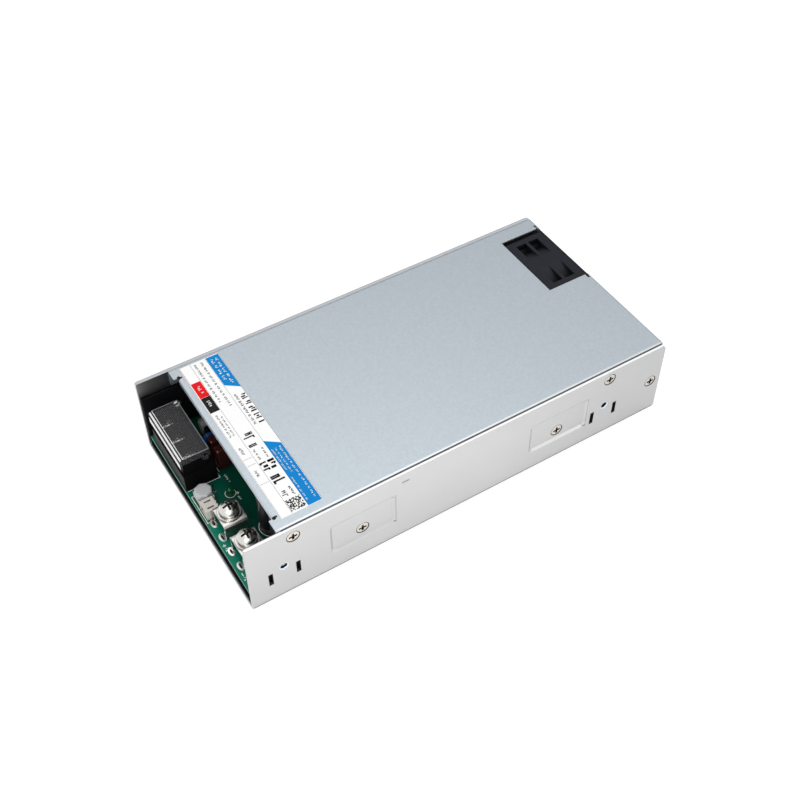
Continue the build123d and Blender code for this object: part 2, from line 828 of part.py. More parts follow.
def make_ac_guard():
    """The clear cover over the AC terminals, with a front skirt, end rims and two pivot legs."""
    near = ac_centre_y - guard_width / 2
    under = guard_top - guard_wall
    with BuildPart() as guard:
        with BuildSketch(Plane.XZ.offset(-near)) as section:
            with Locations((front_x + guard_front, guard_top - guard_skirt)):
                Rectangle(guard_length, guard_skirt, align=(Align.MIN, Align.MIN))
                rolled = section.vertices().group_by(Axis.X)[0].sort_by(Axis.Y)[-1]
                fillet(rolled, guard_corner + guard_wall)
            with Locations((front_x + guard_front + guard_wall, guard_top - guard_skirt)):
                Rectangle(guard_length, guard_skirt - guard_wall, align=(Align.MIN, Align.MIN),
                          mode=Mode.SUBTRACT)
        extrude(amount=-guard_width)

        # A low rib behind the rolled edge, and a rim and a pivot leg at each end
        with BuildSketch(Plane.XY.offset(guard_top)):
            with Locations((front_x + guard_front + guard_rib + guard_wall / 2, ac_centre_y)):
                Rectangle(guard_wall / 2, guard_width)
        extrude(amount=-guard_wall - guard_wall / 2)
        for side in sides:
            with BuildSketch(inward_plane(1, ac_centre_y + side * guard_width / 2)):
                with Locations((front_x + guard_front + guard_length / 2, under - guard_rim / 2)):
                    Rectangle(guard_length, guard_rim + guard_wall)
                with Locations((front_x + guard_pivot, under - guard_leg_length / 2)):
                    SlotOverall(guard_leg_length + guard_leg_width / 2, guard_leg_width, rotation=90)
            extrude(amount=side * guard_wall)
        with BuildSketch(Plane.XZ):
            with Locations((front_x + guard_pivot, guard_pivot_level)):
                Circle(pivot_radius + pivot_gap)
        extrude(amount=-case_width, mode=Mode.SUBTRACT)
    guard.part.label = "ac_terminal_cover"
    export_step(guard.part, "parts/ac_terminal_cover.step")


def make_dc_terminals():
    """Two folded output terminals with their nuts, washers and screws."""
    for name, y in (("dc_positive_terminal", dc_positive_y), ("dc_negative_terminal", dc_negative_y)):
        front = Plane(origin=(front_x + dc_front, y, plate_top), x_dir=(0, -1, 0), z_dir=(1, 0, 0))
        legs = [place for place in dc_leg_places() if abs(place[1] - y) < dc_width / 2]
        with BuildPart() as terminal:
            with BuildSketch(front):
                bent_channel(dc_width, dc_height, dc_sheet, dc_bend)
            extrude(amount=dc_length)
            with BuildSketch(Plane.XY.offset(board_top)):
                with Locations(*legs):
                    Rectangle(leg_width, dc_sheet)
            extrude(amount=-leg_reach)
            with BuildSketch(Plane.XY.offset(plate_top)):
                with Locations((front_x + dc_hole_x, y)):
                    Circle(dc_shank_radius + screw_clearance)
            extrude(amount=-dc_sheet, mode=Mode.SUBTRACT)
        terminal.part.label = name
        export_step(terminal.part, f"parts/{name}.step")

    with BuildPart() as nuts:
        with BuildSketch(Plane.XY.offset(plate_top - dc_sheet)):
            with Locations(*[(front_x + dc_hole_x, y) for y in terminal_ys]):
                Rectangle(dc_nut_size, dc_nut_size)
                Circle(dc_shank_radius + screw_clearance, mode=Mode.SUBTRACT)
        extrude(amount=-dc_nut_height)
    nuts.part.label = "dc_square_nuts"
    export_step(nuts.part, "parts/dc_square_nuts.step")

    with BuildPart() as washers:
        with BuildSketch(Plane.XY.offset(plate_top)):
            with Locations(*[(front_x + dc_hole_x, y) for y in terminal_ys]):
                Circle(dc_washer_radius)
                Circle(dc_shank_radius + screw_clearance, mode=Mode.SUBTRACT)
        extrude(amount=dc_washer_thickness)
    washers.part.label = "dc_flat_washers"
    export_step(washers.part, "parts/dc_flat_washers.step")

    spring_level = plate_top + dc_washer_thickness
    with BuildPart() as springs:
        with BuildSketch(Plane.XY.offset(spring_level)):
            with Locations(*[(front_x + dc_hole_x, y) for y in terminal_ys]):
                Circle(dc_spring_radius)
                Circle(dc_shank_radius + screw_clearance, mode=Mode.SUBTRACT)
                Rectangle(dc_spring_radius, dc_spring_split, rotation=dc_spring_turn,
                          align=(Align.MIN, Align.CENTER), mode=Mode.SUBTRACT)
        extrude(amount=dc_spring_thickness)
    springs.part.label = "dc_spring_washers"
    export_step(springs.part, "parts/dc_spring_washers.step")

    screw = pan_screw(dc_head_radius, dc_head_height, dc_shank_radius, dc_screw_length, dc_recess_span)
    with BuildPart() as screws:
        with Locations(*[spot(dc_hole_x, y, spring_level + dc_spring_thickness) for y in terminal_ys]):
            add(screw)
    screws.part.label = "dc_terminal_screws"
    export_step(screws.part, "parts/dc_terminal_screws.step")


def make_controls():
    """The output trimmer with its knob, the signal connector and the indicator lamp."""
    trimmer_top = board_top + trimmer_height
    with BuildPart() as body:
        with Locations(spot(trimmer_x, trimmer_y)):
            Box(trimmer_size, trimmer_size, trimmer_height, align=centre_min)
            with Locations((0, 0, trimmer_height / 2)):
                Cylinder(knob_stem_radius + knob_gap, trimmer_height / 2, align=centre_min,
                         mode=Mode.SUBTRACT)
    body.part.label = "trimmer_body"
    export_step(body.part, "parts/trimmer_body.step")

    knob_base = trimmer_top + knob_gap
    with BuildPart() as knob:
        with BuildSketch(Plane.XY.offset(knob_base)):
            with Locations((front_x + trimmer_x, trimmer_y)):
                RegularPolygon(knob_across / 2, 8, major_radius=False)
        extrude(amount=knob_height)
        fillet(knob.edges().group_by(Axis.Z)[-1], knob_dome)
        with BuildSketch(Plane.XY.offset(knob_base)):
            with Locations((front_x + trimmer_x, trimmer_y)):
                Circle(knob_stem_radius)
        extrude(amount=-knob_stem_length)
    knob.part.label = "trimmer_knob"
    export_step(knob.part, "parts/trimmer_knob.step")

    header_y = header_near_y + header_width / 2
    pin_level = board_top + header_height / 2
    pin_ys = [header_y + pin_pitch * (i - (header_pins - 1) / 2) for i in range(header_pins)]
    with BuildPart() as header:
        with Locations(spot(header_x + header_length / 2, header_y)):
            Box(header_length, header_width, header_height, align=centre_min)
        with BuildSketch(Plane.YZ.offset(front_x + header_x)):
            with Locations((header_y, pin_level)):
                Rectangle(header_width - 2 * header_wall, header_height - 2 * header_wall)
        extrude(amount=header_length - 2 * header_wall, mode=Mode.SUBTRACT)
        with BuildSketch(Plane.XY.offset(board_top + header_height)):
            with Locations((front_x + header_x + header_length / 2, header_y)):
                with GridLocations(0, header_width / 2, 1, 2):
                    Rectangle(header_length / 2, header_wall)
        extrude(amount=-header_wall, mode=Mode.SUBTRACT)
        with BuildSketch(Plane.YZ.offset(front_x + header_x)):
            with Locations(*[(y, pin_level) for y in pin_ys]):
                Rectangle(pin_size, pin_size)
        extrude(amount=header_length, mode=Mode.SUBTRACT)
    header.part.label = "signal_header"
    export_step(header.part, "parts/signal_header.step")

    pin_back = header_x + header_length + pin_size
    with BuildPart() as pins:
        with BuildSketch(Plane.YZ.offset(front_x + header_x + header_wall)):
            with Locations(*[(y, pin_level) for y in pin_ys]):
                Rectangle(pin_size, pin_size)
        extrude(amount=pin_back - header_x - header_wall)
        with BuildSketch(Plane.XY.offset(pin_level + pin_size / 2)):
            with Locations(*[(front_x + pin_back, y) for y in pin_ys]):
                Rectangle(pin_size, pin_size)
        extrude(amount=board_top - pin_level - pin_size / 2)
    pins.part.label = "signal_pins"
    export_step(pins.part, "parts/signal_pins.step")

    with BuildPart() as lamp:
        with Locations(spot(lamp_x, lamp_y)):
            Cylinder(lamp_radius, lamp_height, align=centre_min)
        fillet(lamp.edges().group_by(Axis.Z)[-1], lamp_dome)
        with Locations(spot(lamp_x, lamp_y)):
            Cylinder(lamp_radius + lamp_flange, lamp_flange_height, align=centre_min)
    lamp.part.label = "status_lamp"
    export_step(lamp.part, "parts/status_lamp.step")


def make_fan():
    """The axial fan: moulded frame, motor, brass bearing and the bladed rotor on its axle."""
    with BuildPart() as frame:
        with BuildSketch(fan_plane.offset(fan_front_x)):
            RectangleRounded(fan_size, fan_size, fan_corner)
            Circle(fan_bore_radius, mode=Mode.SUBTRACT)
        extrude(amount=fan_depth)

        # Pockets round the barrel, on both sides of a thin rib, parted by a web at each corner
        pocket_length = (fan_depth - 2 * fan_flange - fan_rib) / 2
        for start in (fan_flange, fan_depth - fan_flange - pocket_length):
            with BuildSketch(fan_plane.offset(fan_front_x + start)):
                Rectangle(fan_size, fan_size - 2 * fan_post)
                Rectangle(fan_size - 2 * fan_post, fan_size)
                Circle(fan_barrel_radius, mode=Mode.SUBTRACT)
                for turn in (45, -45):
                    Rectangle(2 * fan_size, fan_web, rotation=turn, mode=Mode.SUBTRACT)
            extrude(amount=pocket_length, mode=Mode.SUBTRACT)

        # The motor's base on four struts at the outlet, with a socket for the bearing
        with BuildSketch(fan_plane.offset(fan_rear_x)):
            Circle(fan_base_radius)
            for turn in (0, 90):
                Rectangle(fan_bore_radius + fan_barrel_radius, fan_strut_width, rotation=turn)
            Circle(bearing_radius, mode=Mode.SUBTRACT)
        extrude(amount=-fan_strut_depth)

        # Corner holes, countersunk at the outlet for the fixing screws
        with Locations(Location((fan_rear_x, fan_centre_y, fan_centre_z), (0, 90, 0))):
            with GridLocations(fan_hole_spacing, fan_hole_spacing, 2, 2):
                sink = flat_head_radius + flat_head_sunk - cover_sheet + screw_clearance
                CounterSinkHole(flat_shank_radius + screw_clearance, sink, counter_sink_angle=90)
    frame.part.label = "fan_frame"
    export_step(frame.part, "parts/fan_frame.step")

    base_x = fan_rear_x - fan_strut_depth
    with BuildPart() as bearing:
        with BuildSketch(fan_plane.offset(fan_rear_x)):
            Circle(bearing_radius)
            Circle(axle_radius + running_gap, mode=Mode.SUBTRACT)
        extrude(amount=-bearing_length)
    bearing.part.label = "fan_bearing"
    export_step(bearing.part, "parts/fan_bearing.step")

    hub_inner = hub_radius - hub_wall
    with BuildPart() as motor:
        with BuildSketch(fan_plane.offset(base_x)):
            Circle(hub_inner - stator_gap)
            Circle(bearing_radius, mode=Mode.SUBTRACT)
            with PolarLocations(hub_inner - stator_gap, 4):
                Rectangle(2 * stator_gap, 4 * stator_gap, mode=Mode.SUBTRACT)
        extrude(amount=-stator_length)
    motor.part.label = "fan_motor"
    export_step(motor.part, "parts/fan_motor.step")

    hub_rear = base_x - fan_tip_gap
    hub_front = hub_rear - hub_length
    with BuildPart() as rotor:
        with BuildSketch(fan_plane.offset(hub_front)):
            Circle(hub_radius)
        extrude(amount=hub_length)
        chamfer(rotor.edges().group_by(Axis.X)[0], hub_chamfer)
        with BuildSketch(fan_plane.offset(hub_front + hub_wall)):
            Circle(hub_inner)
        extrude(amount=hub_length, mode=Mode.SUBTRACT)
        with BuildSketch(fan_plane.offset(hub_front + hub_wall)):
            Circle(bearing_radius)
        extrude(amount=hub_wall)
        blade_x = hub_front + hub_length / 2
        blade_tip = fan_bore_radius - fan_tip_gap
        for i in range(blade_count):
            turn = 360 * i / blade_count
            out = Vector(0, math.cos(math.radians(turn)), math.sin(math.radians(turn)))
            centre = Vector(blade_x, fan_centre_y, fan_centre_z)
            root = Plane(origin=centre + out * (hub_radius - hub_wall / 2), x_dir=(1, 0, 0), z_dir=out)
            tip = Plane(origin=centre + out * blade_tip, x_dir=(1, 0, 0), z_dir=out)
            with BuildSketch(root):
                Rectangle(blade_root_chord, blade_thickness, rotation=90 - blade_root_pitch)
            with BuildSketch(tip):
                Rectangle(blade_tip_chord, blade_thickness, rotation=90 - blade_tip_pitch)
            loft()
        with BuildSketch(fan_plane.offset(hub_front)):
            Circle(axle_radius)
        extrude(amount=hub_length, mode=Mode.SUBTRACT)
    rotor.part.label = "fan_rotor"
    export_step(rotor.part, "parts/fan_rotor.step")

    with BuildPart() as axle:
        with BuildSketch(fan_plane.offset(hub_front + hub_wall / 2)):
            Circle(axle_radius)
        extrude(amount=axle_length)
    axle.part.label = "fan_axle"
    export_step(axle.part, "parts/fan_axle.step")

    with BuildPart() as screws:
        with Locations(Location((rear_x - flat_head_sunk, fan_centre_y, fan_centre_z), (0, 90, 0))):
            with GridLocations(fan_hole_spacing, fan_hole_spacing, 2, 2):
                add(flat_screw(flat_screw_length))
    screws.part.label = "fan_screws"
    export_step(screws.part, "parts/fan_screws.step")


def make_discs(label, places, radius, thickness):
    """Dipped discs that stand on two leads."""
    centre_z = board_top + part_lift + radius
    with BuildPart() as discs:
        for x, y in places:
            with BuildSketch(Plane.XZ.offset(-y)):
                with Locations((front_x + x, centre_z)):
                    Circle(radius)
            extrude(amount=thickness / 2, both=True)
        fillet(discs.edges().filter_by(GeomType.CIRCLE), disc_rounding)
        with BuildSketch(Plane.XY.offset(board_top)):
            with Locations(*[(front_x + x + side * radius / 2, y) for x, y in places for side in sides]):
                Circle(lead_radius)
        extrude(amount=part_lift + radius / 2)
    discs.part.label = label
    export_step(discs.part, f"parts/{label}.step")


def make_blocks(label, places, size, rounding):
    """Boxed parts that sit on the board, with rounded corners and top edges."""
    length, depth, height = size
    with BuildPart() as blocks:
        with Locations(*[spot(x, y) for x, y in places]):
            Box(length, depth, height, align=centre_min)
        fillet(blocks.edges().filter_by(Axis.Z), rounding)
        chamfer(blocks.edges().group_by(Axis.Z)[-1], rounding / 2)
    blocks.part.label = label
    export_step(blocks.part, f"parts/{label}.step")


def make_fuse():
    """The mains fuse and the two spring clips that hold its caps."""
    middle = Plane(origin=spot(fuse_x, fuse_y, board_top + fuse_lift), x_dir=(0, 1, 0), z_dir=(1, 0, 0))
    with BuildPart() as fuse:
        with BuildSketch(middle):
            Circle(fuse_radius - fuse_cap_step)
        extrude(amount=fuse_length / 2, both=True)
        for side in sides:
            with BuildSketch(middle.offset(side * (fuse_length / 2 - fuse_cap_length / 2))):
                Circle(fuse_radius)
            extrude(amount=fuse_cap_length / 2, both=True)
    fuse.part.label = "fuse"
    export_step(fuse.part, "parts/fuse.step")

    with BuildPart() as clips:
        for side in sides:
            clip_x = fuse_x + side * (fuse_length - fuse_cap_length) / 2 - clip_length / 2
            clip = Plane(origin=spot(clip_x, fuse_y), x_dir=(0, 1, 0), z_dir=(1, 0, 0))
            with BuildSketch(clip):
                bent_channel(2 * (fuse_radius + clip_wall), clip_height, clip_wall, clip_wall)
            extrude(amount=clip_length)
    clips.part.label = "fuse_clips"
    export_step(clips.part, "parts/fuse_clips.step")


def winding_section(mean, width, depth):
    """The section of a winding round a ring, hollow where the ring passes."""
    thick = 2 * winding_thickness
    with BuildSketch() as section:
        with Locations((mean, 0)):
            Rectangle(width + thick, depth + thick)
            Rectangle(width + 2 * screw_clearance, depth + 2 * screw_clearance, mode=Mode.SUBTRACT)
    return section.sketch


def make_ring_chokes(prefix, planes, radius, bore, thickness):
    """Rings, each with two windings. A plane's origin is a ring's middle, its Y axis the ring's."""
    mean = (radius + bore) / 2
    with BuildPart() as cores:
        for plane in planes:
            ring = Plane(origin=plane.origin, x_dir=plane.x_dir, z_dir=plane.y_dir)
            with BuildSketch(ring):
                Circle(radius)
                Circle(bore, mode=Mode.SUBTRACT)
            extrude(amount=thickness / 2, both=True)
    cores.part.label = f"{prefix}_cores"
    export_step(cores.part, f"parts/{prefix}_cores.step")

    with BuildPart() as windings:
        for plane in planes:
            for side in sides:
                half = Plane(origin=plane.origin, x_dir=plane.x_dir * side, z_dir=plane.z_dir * side)
                with BuildSketch(half):
                    add(winding_section(mean, radius - bore, thickness))
                revolve(axis=Axis(plane.origin, plane.y_dir), revolution_arc=winding_sweep)
    windings.part.label = f"{prefix}_windings"
    export_step(windings.part, f"parts/{prefix}_windings.step")


def make_chokes():
    """The two standing chokes of the mains filter and the lying output choke."""
    stand_z = board_top + seat_gap + choke_radius + winding_thickness
    standing = [Plane(origin=spot(x, choke_y, stand_z), x_dir=(1, 0, 0), z_dir=(0, 0, 1))
                for x in choke_xs]
    make_ring_chokes("line_choke", standing, choke_radius, choke_bore, choke_thickness)
    lie_z = board_top + seat_gap + output_choke_height / 2 + winding_thickness
    lying = [Plane(origin=spot(output_choke_x, output_choke_y, lie_z), x_dir=(1, 0, 0), z_dir=(0, -1, 0))]
    make_ring_chokes("output_choke", lying, output_choke_radius, output_choke_bore, output_choke_height)


def make_wound_core(prefix, place, size):
    """A closed core with a round middle leg, a flanged bobbin on it and a coil."""
    length, depth, height = size
    base = board_top + seat_gap
    leg = length / core_leg_share
    yoke = height / core_yoke_share
    window_low = base + yoke
    window_high = base + height - yoke
    bobbin_radius = length / 2 - leg - seat_gap
    middle = Plane(origin=spot(*place, 0))
    with BuildPart() as core:
        with BuildSketch(middle.offset(base)):
            Rectangle(length, depth)
        extrude(amount=height)
        with BuildSketch(middle.offset(window_low)):
            Rectangle(length - 2 * leg, depth)
            Circle(leg, mode=Mode.SUBTRACT)
        extrude(amount=window_high - window_low, mode=Mode.SUBTRACT)
    core.part.label = f"{prefix}_core"
    export_step(core.part, f"parts/{prefix}_core.step")

    with BuildPart() as bobbin:
        with BuildSketch(middle.offset(window_low + screw_clearance)):
            Circle(leg + screw_clearance + bobbin_wall)
        extrude(amount=window_high - window_low - 2 * screw_clearance)
        for level in (window_low + screw_clearance, window_high - screw_clearance - bobbin_wall):
            with BuildSketch(middle.offset(level)):
                Circle(bobbin_radius)
            extrude(amount=bobbin_wall)
        rail = bobbin_radius - depth / 2 - seat_gap
        with BuildSketch(middle.offset(board_top)):
            with GridLocations(0, depth + rail + 2 * seat_gap, 1, 2):
                Rectangle(bobbin_radius, rail)
        extrude(amount=window_low + bobbin_wall - board_top)
        with BuildSketch(middle.offset(window_low)):
            Circle(leg + screw_clearance)
        extrude(amount=window_high - window_low, both=True, mode=Mode.SUBTRACT)
    bobbin.part.label = f"{prefix}_bobbin"
    export_step(bobbin.part, f"parts/{prefix}_bobbin.step")

    coil_low = window_low + screw_clearance + bobbin_wall
    coil_high = window_high - screw_clearance - bobbin_wall
    with BuildPart() as coil:
        with BuildSketch(middle.offset(coil_low)):
            Circle(bobbin_radius - bobbin_wall)
            Circle(leg + screw_clearance + bobbin_wall, mode=Mode.SUBTRACT)
        extrude(amount=coil_high - coil_low)
    coil.part.label = f"{prefix}_coil"
    export_step(coil.part, f"parts/{prefix}_coil.step")


def make_cans(label, places, radius, height):
    """Electrolytic cans with a rolled groove near the seal."""
    with BuildPart() as can:
        with BuildSketch(Plane.XZ):
            with BuildLine():
                Polyline((0, 0), (radius, 0), (radius, can_groove_level - can_groove),
                         (radius - can_groove, can_groove_level), (radius, can_groove_level + can_groove),
                         (radius, height - can_chamfer), (radius - can_chamfer, height), (0, height),
                         close=True)
            make_face()
        revolve(axis=Axis.Z)
    with BuildPart() as cans:
        with Locations(*[spot(x, y) for x, y in places]):
            add(can.part)
    cans.part.label = label
    export_step(cans.part, f"parts/{label}.step")


def power_device():
    """A three-leg power device lying back against the XZ plane, its tab towards +Y."""
    with BuildPart() as device:
        with BuildSketch(Plane.XY):
            Rectangle(device_width, tab_thickness, align=(Align.CENTER, Align.MAX))
        extrude(amount=device_height)
        with BuildSketch(Plane.XY):
            Rectangle(device_width, device_thickness, align=(Align.CENTER, Align.MAX))
        extrude(amount=device_body)
        with BuildSketch(Plane.XY):
            with Locations((0, -device_thickness / 2)):
                with GridLocations(device_width / 4, 0, 3, 1):
                    Rectangle(2 * lead_radius, lead_radius)
        extrude(amount=board_top - spreader_level + spreader_height / 2)
    return device.part


def make_power_devices():
    """Heat spreaders clamped to the walls, the finned heatsink and the devices on them."""
    with BuildPart() as spreaders:
        for side in sides:
            with BuildSketch(inward_plane(side, film_inner)):
                with Locations(*[(x, side * spreader_level) for x in panel_xs]):
                    Rectangle(spreader_length, spreader_height)
                with Locations(*[(x, side * clamp_level) for x in panel_xs]):
                    Circle(flat_shank_radius + screw_clearance, mode=Mode.SUBTRACT)
            extrude(amount=spreader_thickness)
    spreaders.part.label = "heat_spreaders"
    export_step(spreaders.part, "parts/heat_spreaders.step")

    back_y = heatsink_y - heatsink_base / 2
    with BuildPart() as heatsink:
        with BuildSketch(Plane.XY.offset(board_top)):
            with Locations((front_x + heatsink_x, heatsink_y)):
                Rectangle(heatsink_length, heatsink_base)
            with Locations((front_x + heatsink_x, back_y - fin_length / 2)):
                with GridLocations((heatsink_length - fin_thickness) / (fin_count - 1), 0, fin_count, 1):
                    Rectangle(fin_thickness, fin_length)
        extrude(amount=heatsink_height)
    heatsink.part.label = "output_heatsink"
    export_step(heatsink.part, "parts/output_heatsink.step")

    device = power_device()
    base_z = spreader_level - spreader_height / 2
    with BuildPart() as switches:
        for side in sides:
            face_y = side * (film_inner - spreader_thickness)
            turn = (0, 0, 0) if side > 0 else (0, 0, 180)
            with Locations(*[Location((x + step * device_pitch / 2, face_y, base_z), turn)
                             for x in panel_xs for step in sides]):
                add(device)
    switches.part.label = "power_transistors"
    export_step(switches.part, "parts/power_transistors.step")

    with BuildPart() as rectifiers:
        face_y = heatsink_y + heatsink_base / 2
        with Locations(*[Location((front_x + heatsink_x + step * device_pitch, face_y, base_z), (0, 0, 180))
                         for step in sides]):
            add(device)
    rectifiers.part.label = "output_rectifiers"
    export_step(rectifiers.part, "parts/output_rectifiers.step")


def make_control_board():
    """The upright control board and the chips on it."""
    with BuildPart() as board:
        with Locations(spot(control_board_x, control_board_y)):
            Box(control_board_length, control_board_thickness, control_board_height, align=centre_min)
        face = Plane.XZ.offset(-(control_board_y - control_board_thickness / 2))
        with BuildSketch(face):
            with Locations((front_x + control_board_x, board_top + control_board_height / 2)):
                with GridLocations(chip_pitch, chip_pitch, 3, 2):
                    Rectangle(chip_length, chip_height)
        extrude(amount=chip_thickness)
    board.part.label = "control_board"
    export_step(board.part, "parts/control_board.step")


def make_board_parts():
    """Everything that stands on the board behind the terminals."""
    make_fuse()
    make_discs("varistor", varistor_places, varistor_radius, varistor_thickness)
    make_discs("inrush_thermistor", thermistor_places, thermistor_radius, thermistor_thickness)
    make_discs("safety_capacitors", safety_places, safety_radius, safety_thickness)
    make_blocks("dipped_capacitors", dipped_places, dipped_size, dipped_rounding)
    make_blocks("line_capacitor", line_capacitor_places, line_capacitor_size, box_rounding)
    make_blocks("bypass_relay", relay_places, relay_size, box_rounding)
    make_blocks("bridge_rectifier", bridge_places, bridge_size, box_rounding)
    make_chokes()
    make_wound_core("transformer", transformer_place, transformer_size)
    make_wound_core("boost_inductor", boost_place, boost_size)
    make_wound_core("auxiliary_transformer", auxiliary_place, auxiliary_size)
    make_cans("bulk_capacitors", bulk_places, bulk_radius, bulk_height)
    output_places = [(output_can_x + column * output_can_pitch, output_can_y - row * output_can_pitch)
                     for column in range(output_can_columns) for row in range(output_can_rows)]
    make_cans("output_capacitors", output_places, output_can_radius, output_can_height)
    make_power_devices()
    make_control_board()


make_chassis()
make_top_cover()
make_rating_label()
make_case_screws()
make_insulation_sheet()
make_circuit_board()
make_ac_terminal_block()
make_ac_guard()
make_dc_terminals()
make_controls()
make_fan()
make_board_parts()
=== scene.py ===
import json
import math

import bpy
from mathutils import Matrix, Vector


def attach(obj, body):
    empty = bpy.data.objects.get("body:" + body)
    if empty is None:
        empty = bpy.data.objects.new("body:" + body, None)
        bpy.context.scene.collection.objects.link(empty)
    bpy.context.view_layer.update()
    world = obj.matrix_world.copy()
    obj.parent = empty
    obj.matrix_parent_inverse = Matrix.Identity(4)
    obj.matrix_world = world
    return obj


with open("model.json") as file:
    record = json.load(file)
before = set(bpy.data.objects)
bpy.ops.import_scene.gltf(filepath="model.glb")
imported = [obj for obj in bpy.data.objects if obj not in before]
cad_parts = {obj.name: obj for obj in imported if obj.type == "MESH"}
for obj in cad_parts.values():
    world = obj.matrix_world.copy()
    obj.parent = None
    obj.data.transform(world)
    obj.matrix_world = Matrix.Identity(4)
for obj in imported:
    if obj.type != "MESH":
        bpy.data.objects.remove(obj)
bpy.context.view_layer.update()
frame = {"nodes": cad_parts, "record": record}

# Metres in a millimetre
MM = 0.001

# Sizes in mm. Lengths called u, and places along the case, count from its front.
FRONT = -101.55
LABEL_TOP = 40.6
COVER_TOP = 40.5
BOARD_TOP = 8.0
WALL_OUT = 50.8
PRINT_GAP = 0.02
PRINT_STEP = 0.005
CASE = "case"
GUARD_BODY = "ac_terminal_cover"
TAPPED_PLACES = (15.3, 172.3)
TAPPED_LEVEL = 19.6
TAPPED_RADIUS = 1.6
RIM_PROFILE = ((1.5, -0.30), (1.62, 0.0), (1.98, 0.03), (2.2, -0.02))
THREAD_SHADE_DEPTHS = (0.45, 1.45)
THREAD_STEPS = 24
TERMINAL_PLACES = (-13.7, -30.1)
TERMINAL_SCREW = 9.6
RECESS_ARMS = ((2.38, 0.48), (0.48, 2.38))
RECESS_FLOOR = 19.73
PAD_ROW = 3.5
PAD_OFFSETS = (-4.1, 4.1)
PANEL_PLACES = (51.2, 147.6)
PANEL_LEVEL = 20.8
PANEL_HALF_LENGTH = 15.0
PANEL_HALF_HEIGHT = 8.5
PANEL_DEPTH = 0.8
PANEL_SLOPE = 0.58
THIN_LINE = 0.2
FLOOR_HALF = 3000.0
FLOOR_LEVEL = -0.05
# Countersunk screws of a side wall: place, level, and distance of their face from the middle
SCREW_PLACES = (
    (20.6, 35.2, 50.8), (173.3, 35.2, 50.8), (197.9, 20.2, 50.8), (51.2, 17.5, 50.0), (147.6, 17.5, 50.0),
)
SCREW_GAP = (2.76, 3.08)
SCREW_GAP_DEPTH = 0.10
# The cover's rounded edge and the floor's rounded edge: centre (y, z), and radius of the painted highlight on
# the cover's and of the painted shade on the floor's
COVER_BEND = (48.0, 39.3, 1.23)
FLOOR_BEND = (48.7, 2.1, 2.12)
# The clear cover over the mains terminals: ends across the case, front face with the levels of
# its painted highlight, top face, and rolled corner as centre (u, z) and radius
GUARD_SIDES = (11.7, 42.9)
GUARD_FRONT = 0.78
GUARD_LIT_LEVELS = (22.3, 25.4)
GUARD_TOP = 28.02
GUARD_ROLL = (2.6, 26.2, 1.83)

# Light. Places and lengths here are in metres.
AMBIENT = 0.69
FAR_SKY = (0.20, 0.205, 0.215, 1.0)
FAR_WAY = (0.52, 0.86, 0.0)
FAR_START = 0.45
FAR_END = 1.0
FLOOR_GLOW = 0.82
FLOOR_SHADE = 0.3
FLOOR_PALE = 0.8
FLOOR_ROUGH = 0.9
REFLECTED_GLOW = 0.50
# In reflections the floor's glow is painted darker towards the rear and towards the foot of the near wall, as
# painted shadow.
REAR_SHADE_GLOW = 0.24
FOOT_SHADOW_GLOW = 0.70
FOOT_FALL = (-0.075, -0.050)
GLOW_FALL = (0.02, 0.125)
LAMPS = (
    ("key", (-0.45, -0.60, 0.85), 0.55, 3.0),
    ("fill", (0.55, -0.75, 0.45), 0.60, 0.8),
    ("top", (0.05, 0.25, 0.95), 0.80, 1.2),
)

# Finishes
# Colour, share range and samples of the painted shade in crevices
CREVICE_SHADE_COLOUR = (0.005, 0.005, 0.006, 1.0)
CREVICE_SHARE = (0.25, 0.85)
CREVICE_SAMPLES = 8
BEVEL_SAMPLES = 4
GLOSS_GRAIN = 1.7
LEAST_ROUGH = 0.02
FINE_DETAIL = 5.0

# Camera, found from the corners of the case in the photograph
CAMERA_AZIMUTH = -31.4312
CAMERA_ELEVATION = 48.1828
CAMERA_ROLL = -0.4969
CAMERA_DISTANCE = 521.328
CAMERA_SIDE = -1.57255
CAMERA_RISE = -2.25883
CAMERA_AIM_HEIGHT = 20.3
CAMERA_LENS = 53.696
CAMERA_SENSOR = 36.0
CAMERA_NEAR = 0.01


def mix_colour(nodes, links, factor, low, high):
    """A colour between low and high by a factor socket. Each is a fixed colour or a socket."""
    mix = nodes.new("ShaderNodeMix")
    mix.data_type = "RGBA"
    links.new(factor, mix.inputs[0])
    for number, colour in ((6, low), (7, high)):
        if isinstance(colour, tuple):
            mix.inputs[number].default_value = colour
        else:
            links.new(colour, mix.inputs[number])
    return mix.outputs[2]


def ramp(nodes, links, value, start=0.0, end=1.0, low=0.0, high=1.0):
    """A value that goes from low to high while the given socket goes from start to end."""
    node = nodes.new("ShaderNodeMapRange")
    node.inputs["From Min"].default_value = start
    node.inputs["From Max"].default_value = end
    node.inputs["To Min"].default_value = low
    node.inputs["To Max"].default_value = high
    links.new(value, node.inputs["Value"])
    return node.outputs["Result"]


def combine(nodes, links, operation, first, second):
    """A sum, product or the like of a socket with a number or another socket."""
    node = nodes.new("ShaderNodeMath")
    node.operation = operation
    links.new(first, node.inputs[0])
    if isinstance(second, float):
        node.inputs[1].default_value = second
    else:
        links.new(second, node.inputs[1])
    return node.outputs[0]


def grey(level):
    """A fixed colour without a hue."""
    return (level, level, level, 1.0)


def noise(nodes, links, place, scale, detail=3.0):
    """A noise over the object's own coordinates."""
    texture = nodes.new("ShaderNodeTexNoise")
    texture.inputs["Scale"].default_value = scale
    texture.inputs["Detail"].default_value = detail
    links.new(place, texture.inputs["Vector"])
    return texture.outputs["Fac"]


def stretched(nodes, links, place, scale):
    """The object's coordinates, drawn out along one or two axes."""
    mapping = nodes.new("ShaderNodeMapping")
    mapping.inputs["Scale"].default_value = scale
    links.new(place, mapping.inputs["Vector"])
    return mapping.outputs["Vector"]


